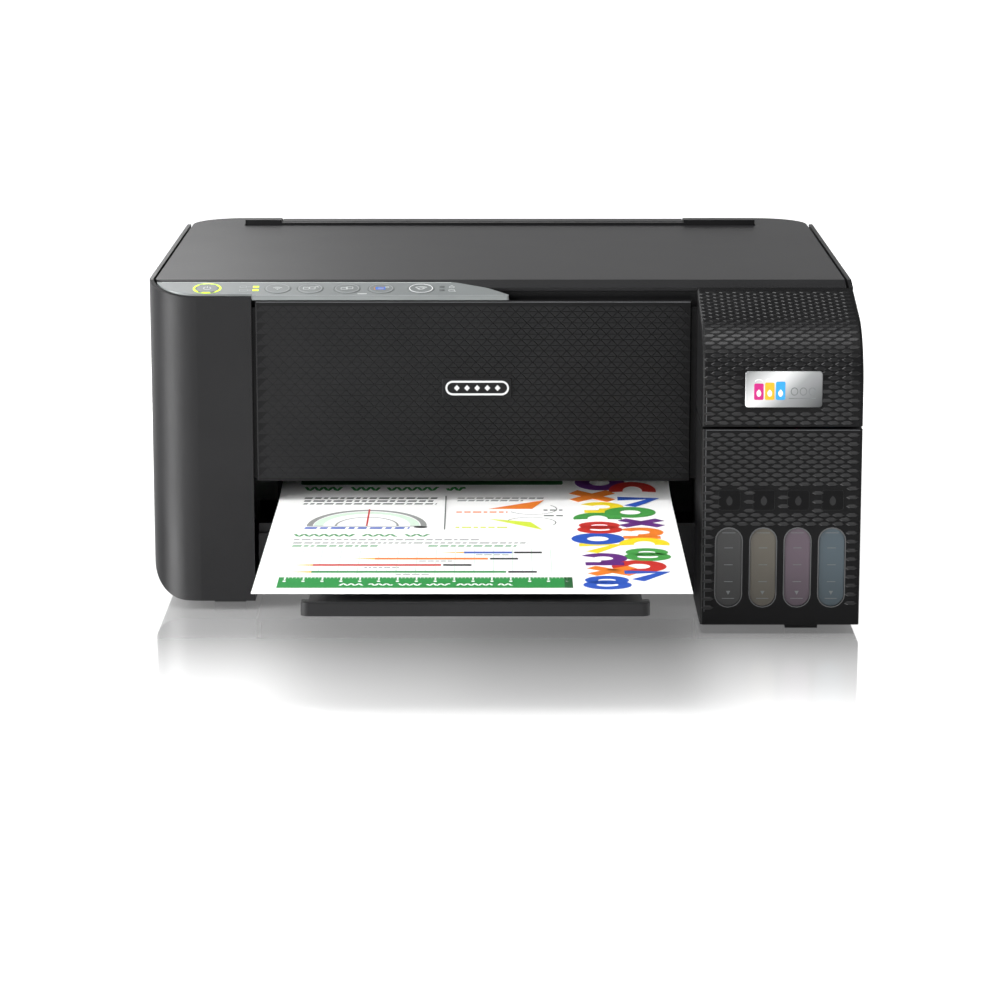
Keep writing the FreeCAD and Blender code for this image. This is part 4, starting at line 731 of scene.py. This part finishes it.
def relief(name, profile, looks, body, finish, mask=None):
    meshes = []
    for look in looks:
        wire = bpy.data.meshes.new(name + "Profile")
        wire.from_pydata([(0, y * mm, z * mm) for y, z in profile],
                         [(i, i + 1) for i in range(len(profile) - 1)], [])
        holder = bpy.data.objects.new(name + "Rows", wire)
        bpy.context.scene.collection.objects.link(holder)
        modifier = holder.modifiers.new("reliefRows", "NODES")
        modifier.node_group = rows
        settings = {"Keep Clear": mask or farAway, "Clearance": look.get("clearance", 0) * mm,
                    "Finish": made[finish], "Corners": look["corners"], "Columns": look["columns"],
                    "Rows": look["rows"], "Top Share": look.get("topShare", 0.8),
                    "Turn": math.radians(look.get("turn", 0)), "Faintness": look.get("faintness", 1.0)}
        for socket, key in (("Middle", "middle"), ("Column Pitch", "pitch"), ("Row Pitch", "rowPitch"),
                            ("Start", "start"), ("Stagger", "stagger"), ("Tile Width", "tileWidth"),
                            ("Tile Height", "tileHeight"), ("Rise", "rise"), ("Faint At", "faintAt"),
                            ("Full At", "fullAt")):
            settings[socket] = look.get(key, 0) * mm
        for item in rows.interface.items_tree:
            if item.in_out == "INPUT" and item.name in settings:
                modifier[item.identifier] = settings[item.name]
        bpy.context.view_layer.update()
        ready = holder.evaluated_get(bpy.context.evaluated_depsgraph_get())
        meshes.append(bpy.data.meshes.new_from_object(ready))
        bpy.data.objects.remove(holder)
    work = bmesh.new()
    for mesh in meshes:
        work.from_mesh(mesh)
    joined = bpy.data.meshes.new(name)
    work.to_mesh(joined)
    work.free()
    joined.materials.clear()
    joined.materials.append(made[finish])
    joined.polygons.foreach_set("material_index", [0] * len(joined.polygons))
    piece = bpy.data.objects.new(name, joined)
    bpy.context.scene.collection.objects.link(piece)
    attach(piece, body)
    print(name, len(joined.polygons), "faces")
    return piece


# the front panel's facets: triangles pointing up and down share rows, so that each pair reads as a diamond
panel = {"left": -129.6, "right": 101.3, "bottom": 70.5, "top": 167.6, "face": -118.95, "pitch": 6.0,
         "row": 3.0, "rise": 0.22, "margin": 1.2}
panelProfile = [(panel["face"], panel["bottom"]), (panel["face"], panel["top"])]
columns = int((panel["right"] - panel["left"] - 2 * panel["margin"]) / panel["pitch"])
rowCount = int((panel["top"] - panel["bottom"] - 3) / panel["row"])
facet = {"corners": 3, "columns": columns, "rows": rowCount, "pitch": panel["pitch"],
         "rowPitch": panel["row"],
         "middle": (panel["left"] + panel["right"] - panel["pitch"] / 2) / 2,
         "stagger": panel["pitch"] / 2,
         "tileWidth": panel["pitch"] / 3 ** 0.5 * 0.955, "tileHeight": panel["row"] / 1.5 * 0.94,
         "rise": panel["rise"], "topShare": 0.93, "faintAt": panel["left"], "fullAt": 20,
         "faintness": 0.35}
relief("panelFacets", panelProfile, [
    {**facet, "turn": 90, "start": 1.5 + panel["row"] / 3},
    {**facet, "turn": -90, "start": 1.5 + panel["row"] - panel["row"] / 3, "columns": columns - 1},
], "printer_body", "facetAbs")

# painted highlight: lighter films along the panel's top edge and, fainter, along its left edge, where
# light catches them
edgeHighlightLook = {"side": 0.6, "low": 0.85, "high": 0.35, "leftFrom": 0.4, "leftTo": 0.8, "foot": 1,
            "head": 0.9}
panelFace = fromFront(surfaceOf("front_panel"))
layOn("panelEdge", [
    ("paintedEdgeHighlight", bar(panel["left"] + edgeHighlightLook["side"], panel["top"] - edgeHighlightLook["low"],
                    panel["right"] - edgeHighlightLook["side"], panel["top"] - edgeHighlightLook["high"]), 0),
    ("markAndPaintedHighlight", bar(panel["left"] + edgeHighlightLook["leftFrom"], panel["bottom"] + edgeHighlightLook["foot"],
                    panel["left"] + edgeHighlightLook["leftTo"], panel["top"] - edgeHighlightLook["head"]), 0),
], panelFace, "printer_body", film=0.1)

# the tank unit's skin: rows of flat scales that follow the cover round its brow
tank = {"front": -173.5, "seam": 110.2, "brow": 35.5, "slope": 14, "slopeRear": -112.0, "lidTop": 176,
        "slopeFrom": -98, "middle": 145.6, "pitch": 7.1, "row": 2.35, "rise": 0.26,
        "skinLow": 13, "skinHigh": 108, "skinSpan": 94, "browSteps": 24}
tilt = math.radians(tank["slope"])
cornerZ = tank["lidTop"] + (tank["front"] - tank["slopeFrom"]) * math.tan(tilt)
touch = tank["brow"] / math.tan(math.radians((90 + tank["slope"]) / 2))
browMiddle = (tank["front"] + tank["brow"], cornerZ - touch)
coverProfile = [(tank["front"], tank["seam"] + 0.8)]
for i in range(tank["browSteps"] + 1):
    angle = math.radians(180 - (90 - tank["slope"]) * i / tank["browSteps"])
    coverProfile.append((browMiddle[0] + tank["brow"] * math.cos(angle),
                         browMiddle[1] + tank["brow"] * math.sin(angle)))
slopeRise = (tank["slopeRear"] - tank["slopeFrom"]) * math.tan(tilt)
coverProfile.append((tank["slopeRear"], tank["lidTop"] + slopeRise))
coverLength = sum(math.dist(coverProfile[i], coverProfile[i + 1]) for i in range(len(coverProfile) - 1))
badgeLow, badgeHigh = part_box("tank_badge")
badgeMask = sampleMask("badgeMask", [(badgeLow.x / mm, badgeLow.z / mm, badgeHigh.x / mm,
                                      badgeHigh.z / mm)],
                       tank["front"])
scale = {"corners": 6, "columns": 11, "pitch": tank["pitch"], "rowPitch": tank["row"], "start": 1.2,
         "middle": tank["middle"] - tank["pitch"] / 4, "stagger": tank["pitch"] / 2, "tileWidth": 3.35,
         "tileHeight": 1.12, "rise": tank["rise"], "topShare": 0.78, "clearance": 1.6, "faintAt": 100,
         "fullAt": 104}
relief("coverScales", coverProfile, [{**scale, "rows": int((coverLength - 2) / tank["row"])}],
       "tank_lid", "scaleAbs", badgeMask)

tankMarks = {"first": 119.0, "pitch": 17.87, "label": (11.6, 66, 77), "window": (13.8, 14.6, 56.7)}
tankX = [tankMarks["first"] + i * tankMarks["pitch"] for i in range(4)]
labelWide, labelLow, labelHigh = tankMarks["label"]
windowWide, windowLow, windowHigh = tankMarks["window"]
taken = [(x - labelWide / 2, labelLow, x + labelWide / 2, labelHigh) for x in tankX]
taken += [(x - windowWide / 2, windowLow, x + windowWide / 2, windowHigh) for x in tankX]
frontMask = sampleMask("frontMask", taken, tank["front"])
relief("tankFrontScales", [(tank["front"], tank["skinLow"]), (tank["front"], tank["skinHigh"])],
       [{**scale, "rows": int(tank["skinSpan"] / tank["row"]), "clearance": 1.3}],
       "printer_body", "scaleAbs", frontMask)

# ---- level windows, labels and badge ----
tankFace = fromFront(surfaceOf("tank_front_case"))
windowFace = fromFront(surfaceOf("ink_tanks"))
labels = []
for x in tankX:
    middle = (labelLow + labelHigh) / 2
    labels.append(("labelAbs", bar(x - labelWide / 2, labelLow, x + labelWide / 2, labelHigh, 1.6), 3))
    labels.append(("markAndPaintedHighlight", outline(x - labelWide / 2 + 0.2, labelLow + 0.2, x + labelWide / 2 - 0.2,
                                      labelHigh - 0.2, 1.5, 0.16), 4))
    labels.append(("markAndPaintedHighlight", drop(x, middle, 2.7), 4))
layOn("tankLabels", labels, tankFace, "printer_body")
tickLook = {"between": (46, 37, 28), "half": 2.2, "line": 0.35, "full": 54, "fullHalf": 3.4,
            "empty": 19,
            "emptyHalf": 3.2, "endLine": 0.3}
ticks = []
for x in tankX:
    for z in tickLook["between"]:
        ticks.append(("inkTick", stroke([(x - tickLook["half"], z), (x + tickLook["half"], z)],
                                        tickLook["line"]), 0))
    ends = (stroke([(x - tickLook["fullHalf"], tickLook["full"]),
                    (x + tickLook["fullHalf"], tickLook["full"])],
                   tickLook["endLine"])
            + stroke([(x - tickLook["emptyHalf"], tickLook["empty"]),
                      (x + tickLook["emptyHalf"], tickLook["empty"])],
                     tickLook["endLine"]))
    ticks.append(("inkTick", ends + [[(x - 1.1, 23), (x + 1.1, 23), (x, 21)]], 0))
layOn("levelTicks", ticks, windowFace, "printer_body", film=0.1)
# painted highlight: thin lighter lines along the tank front's top seam and along the left edges of the
# tank front and its cover
layOn("tankSeamEdge", [
    ("paintedEdgeHighlight", bar(106.4, 108.2, 186.0, 108.6), 0),
    ("paintedEdgeHighlight", bar(106.3, 12.0, 106.7, 108.0), 0),
], tankFace, "printer_body", film=0.08)
coverFace = fromFront(surfaceOf("tank_cover"))
layOn("tankCoverEdge", [("paintedEdgeHighlight", bar(106.3, 111.2, 106.7, 129.0), 0)], coverFace, "tank_lid",
      film=0.08)
# painted highlight: a lighter outline round each ink window's rim
rimHighlights = []
for x in tankX:
    rimHighlights.append(("paintedRimHighlight", outline(x - windowWide / 2 - 0.1, windowLow - 0.1, x + windowWide / 2 + 0.1,
                                    windowHigh + 0.1, windowWide / 2 - 0.1, 0.5), 0))


def windowRim(u, v, height):
    return Vector((u * mm, (tank["front"] - height) * mm, v * mm))


layOn("windowRims", rimHighlights, windowRim, "printer_body", film=0.12)

badgeX = (badgeLow.x + badgeHigh.x) / 2 / mm
badgeZ = (badgeLow.z + badgeHigh.z) / 2 / mm
badgeFace = fromFront(surfaceOf("tank_badge"))
badge = []
for i, finish in enumerate(("inkMagenta", "inkGold", "inkCyan")):
    left = badgeLow.x / mm + 4.5 + i * 5.6
    badge.append((finish, bar(left, badgeZ - 5.4, left + 4.9, badgeZ + 3.2 + i * 0.5, 0.8), 0))
    badge.append(("inkWhite", drop(left + 2.45, badgeZ - 1.6, 2.0), 1))
    badge.append(("inkWhite", ring(left + 2.45, badgeZ + 4.2 + i * 0.5, 1.9, 1.0, 0.4, 0, 180), 1))
for i in range(3):
    badge.append(("inkTick", ring(badgeX + 5.4 + i * 4.6, badgeZ - 1.0, 1.7, 1.9, 0.5), 0))
badge.append(("inkTick", stroke([(badgeX + 2.5, badgeZ - 4.6), (badgeX + 16.5, badgeZ - 4.6)], 0.45),
              0))
layOn("badgeMarks", badge, badgeFace, "tank_lid", film=0.05)

# ---- front mark: a plain badge of silver shapes, not a name ----
markLow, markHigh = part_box("front_mark")
markZ = (markLow.z + markHigh.z) / 2 / mm
markFace = fromFront(surfaceOf("front_mark"))
markLook = {"inset": 2, "half": 3.4, "line": 1.0, "diamonds": 5, "pitch": 5.4, "wide": 1.5, "tall": 1.6}
mark = [("inkMark", outline(markLow.x / mm + markLook["inset"], markZ - markLook["half"],
                            markHigh.x / mm - markLook["inset"], markZ + markLook["half"],
                            markLook["half"], markLook["line"]), 0)]
for i in range(markLook["diamonds"]):
    x = (markLow.x + markHigh.x) / 2 / mm + (i - 2) * markLook["pitch"]
    mark.append(("inkMark", [[(x - markLook["wide"], markZ), (x, markZ - markLook["tall"]),
                              (x + markLook["wide"], markZ), (x, markZ + markLook["tall"])]], 0))
layOn("frontMark", mark, markFace, "printer_body", film=0.3)
print("tank unit finished")

# ---- printed sheet ----
sheetFace = fromAbove(surfaceOf("printed_sheet"))
sheet = {"left": -105, "right": 33, "seed": 7, "columnX": 61}
draw = random.Random(sheet["seed"])


def textLine(x0, x1, y, size, finish, slant=0.0):
    # greeked words: short strokes of uneven length
    words = []
    x = x0
    while x < x1:
        length = draw.uniform(0.6, 1.9) * size
        words += [[(x, y - size / 2), (min(x + length, x1), y - size / 2),
                   (min(x + length, x1) + slant, y + size / 2), (x + slant, y + size / 2)]]
        x += length + 0.42 * size
    return finish, words, 0


def titleLine(x0, x1, y, size, finish):
    # a hand drawn heading: wavy runs with gaps, which spell nothing
    marks = []
    x = x0
    while x < x1 - size:
        length = min(size * draw.uniform(1.4, 4.2), x1 - x)
        beats = max(2, round(length / size * 1.6))
        points = []
        for i in range(beats * 6 + 1):
            turn = math.tau * i / 6
            points.append((x + length * i / (beats * 6), y + size * 0.34 * math.sin(turn + x)))
        marks += stroke(points, size * 0.2)
        x += length + size * 0.55
    return finish, marks, 0


left, right = sheet["left"], sheet["right"]
artwork = [
    ("inkDarkGreen", bar(left - 3, -90, right + 1, -76, 1.5), 0),
    titleLine(left, -19, -97, 8.5, "inkGreen"),
    textLine(left, -34, -113, 3.2, "inkText", 0.6),
    textLine(left, -36, -119, 3.2, "inkText", 0.6),
    textLine(left, -34, -125, 3.2, "inkText", 0.6),
    ("inkGrey", ring(-69, -180, 29.5, 38, 3.2, 0, 180, 40), 0),
    ("inkPale", ring(-69, -180, 25.0, 32, 5.0, 0, 180, 40), 0),
    ("inkGrey", ring(-69, -180, 16.0, 21, 1.2, 0, 180, 30), 0),
    ("inkGrey", stroke([(-100, -181), (-38, -181)], 1.6), 0),
    ("inkRed", stroke([(-69, -180), (-69, -139)], 0.9), 1),
    textLine(-101, -47, -185.5, 4.0, "inkSky", 0.6),
    ("inkBlack", disc(-41, -183, 3.6, 2.6), 0),
    ("inkText", stroke([(-29, -109), (-28.6, -189)], 0.7), 0),
    textLine(-23, 23, -113, 2.6, "inkGrey", 0.6),
    textLine(-23, 12, -118, 2.6, "inkGrey", 0.6),
    ("inkTangerine", [[(-6, -138), (23.5, -117), (17, -138)]], 1),
    ("inkLime", [[(-6, -163), (22, -190), (16, -171)]], 1),
    ("inkText", ring(17, -138, 13, 14, 0.6, -150, 190, 30), 0),
    ("inkText", ring(16, -172, 13, 13, 0.6, -30, 190, 30), 0),
    textLine(-23, 4, -146, 3.0, "inkTangerine"),
    textLine(-23, 4, -184, 3.0, "inkLime"),
    textLine(23, 33, -141, 3.0, "inkText"),
    textLine(23, 33, -155, 3.0, "inkText"),
    titleLine(left, -36, -203, 8.0, "inkGreen"),
    textLine(left, -10, -213.5, 2.6, "inkGrey", 0.6),
    textLine(left, 14, -221, 2.6, "inkGrey", 0.6),
    textLine(left, -62, -228, 2.8, "inkGreen", 0.6),
    textLine(-36.5, 8, -228, 2.8, "inkGreen", 0.6),
]
grid = []
for i in range(29):
    x = left + 2 + i * 4.75
    grid += stroke([(x, -236), (x, -294)], 0.5 if i % 2 else 0.25)
artwork.append(("inkPale", grid + stroke([(left + 2, -236), (right, -236)], 0.6), 0))
pencils = (("inkSky", -30, 6, 21, -243), ("inkTangerine", -74, -6, 9, -257),
           ("inkRed", -104, -29, -14, -271),
           ("inkGreen", -104, 3, 18, -286))
for finish, tip, end, cap, y in pencils:
    artwork.append(("inkGold", [[(tip, y), (tip + 13, y - 1.7), (tip + 13, y + 1.7)]], 0))
    artwork.append((finish, bar(tip + 12, y - 1.9, end, y + 1.9), 1))
    artwork.append(("inkBlack", bar(end + 1, y - 1.9, cap, y + 1.9, 0.8), 1))
    artwork.append(textLine((tip + end) / 2, (tip + end) / 2 + 17, y - 5.2, 2.0, "inkGrey"))
artwork.append(("inkGreen", bar(-107, -320, 35, -297.5), 0))
rulerMarks = []
for i in range(16):
    x = -104 + i * 9.1
    rulerMarks += stroke([(x, -298), (x, -303)], 0.8) + disc(x, -306, 0.9, 1.4, 10)
for i in range(76):
    x = -104 + i * 1.82
    rulerMarks += stroke([(x, -298), (x, -300)], 0.3)
artwork.append(("inkWhite", rulerMarks, 1))
artwork.append(("inkWhite", titleLine(-77, 6, -313, 5.5, "inkWhite")[1], 1))
artwork.append(("inkDarkGreen", bar(31, -320, 35, -297.5), 1))

playShapes = ("ring", "arch", "cross", "zigzag", "bean", "hook")
colours = ("inkPurple", "inkLeaf", "inkYellow", "inkSky", "inkTangerine", "inkRed")


def playShape(kind, x, y):
    if kind == "ring":
        return ring(x, y, 9.5, 9.5, 8.0, steps=28)
    if kind == "arch":
        return ring(x, y - 3, 9.0, 11, 7.5, -10, 200, 24)
    if kind == "cross":
        return stroke([(x - 10, y - 8), (x + 10, y + 8)],
                      7.2) + stroke([(x - 10, y + 8), (x + 10, y - 8)], 7.2)
    if kind == "zigzag":
        return stroke([(x - 10, y + 8), (x + 9, y + 8), (x - 4, y - 9)], 7.2)
    if kind == "bean":
        return ring(x, y + 4, 7.5, 6.0, 6.4, steps=22) + ring(x, y - 6, 8.5, 6.5, 6.4, steps=22)
    return ring(x, y + 3, 8.5, 8.0, 7.0, 150, -250, 24) + stroke([(x - 9, y - 9), (x + 10, y - 9)], 6.6)


for i in range(19):
    across = sheet["columnX"] + (9.5 if i % 2 else -9.0) + draw.uniform(-3, 3)
    down = -86 - i * 12.4 + draw.uniform(-2, 2)
    artwork.append((colours[(i * 5 + i // 6) % 6],
                    playShape(playShapes[(i * 7 + i // 4) % 6], across, down),
                    1 + i % 3))
layOn("sheetPrint", artwork, sheetFace, "paper", film=0.03)
print("sheet printed")

for mask in (farAway, badgeMask, frontMask):
    bpy.data.objects.remove(mask)
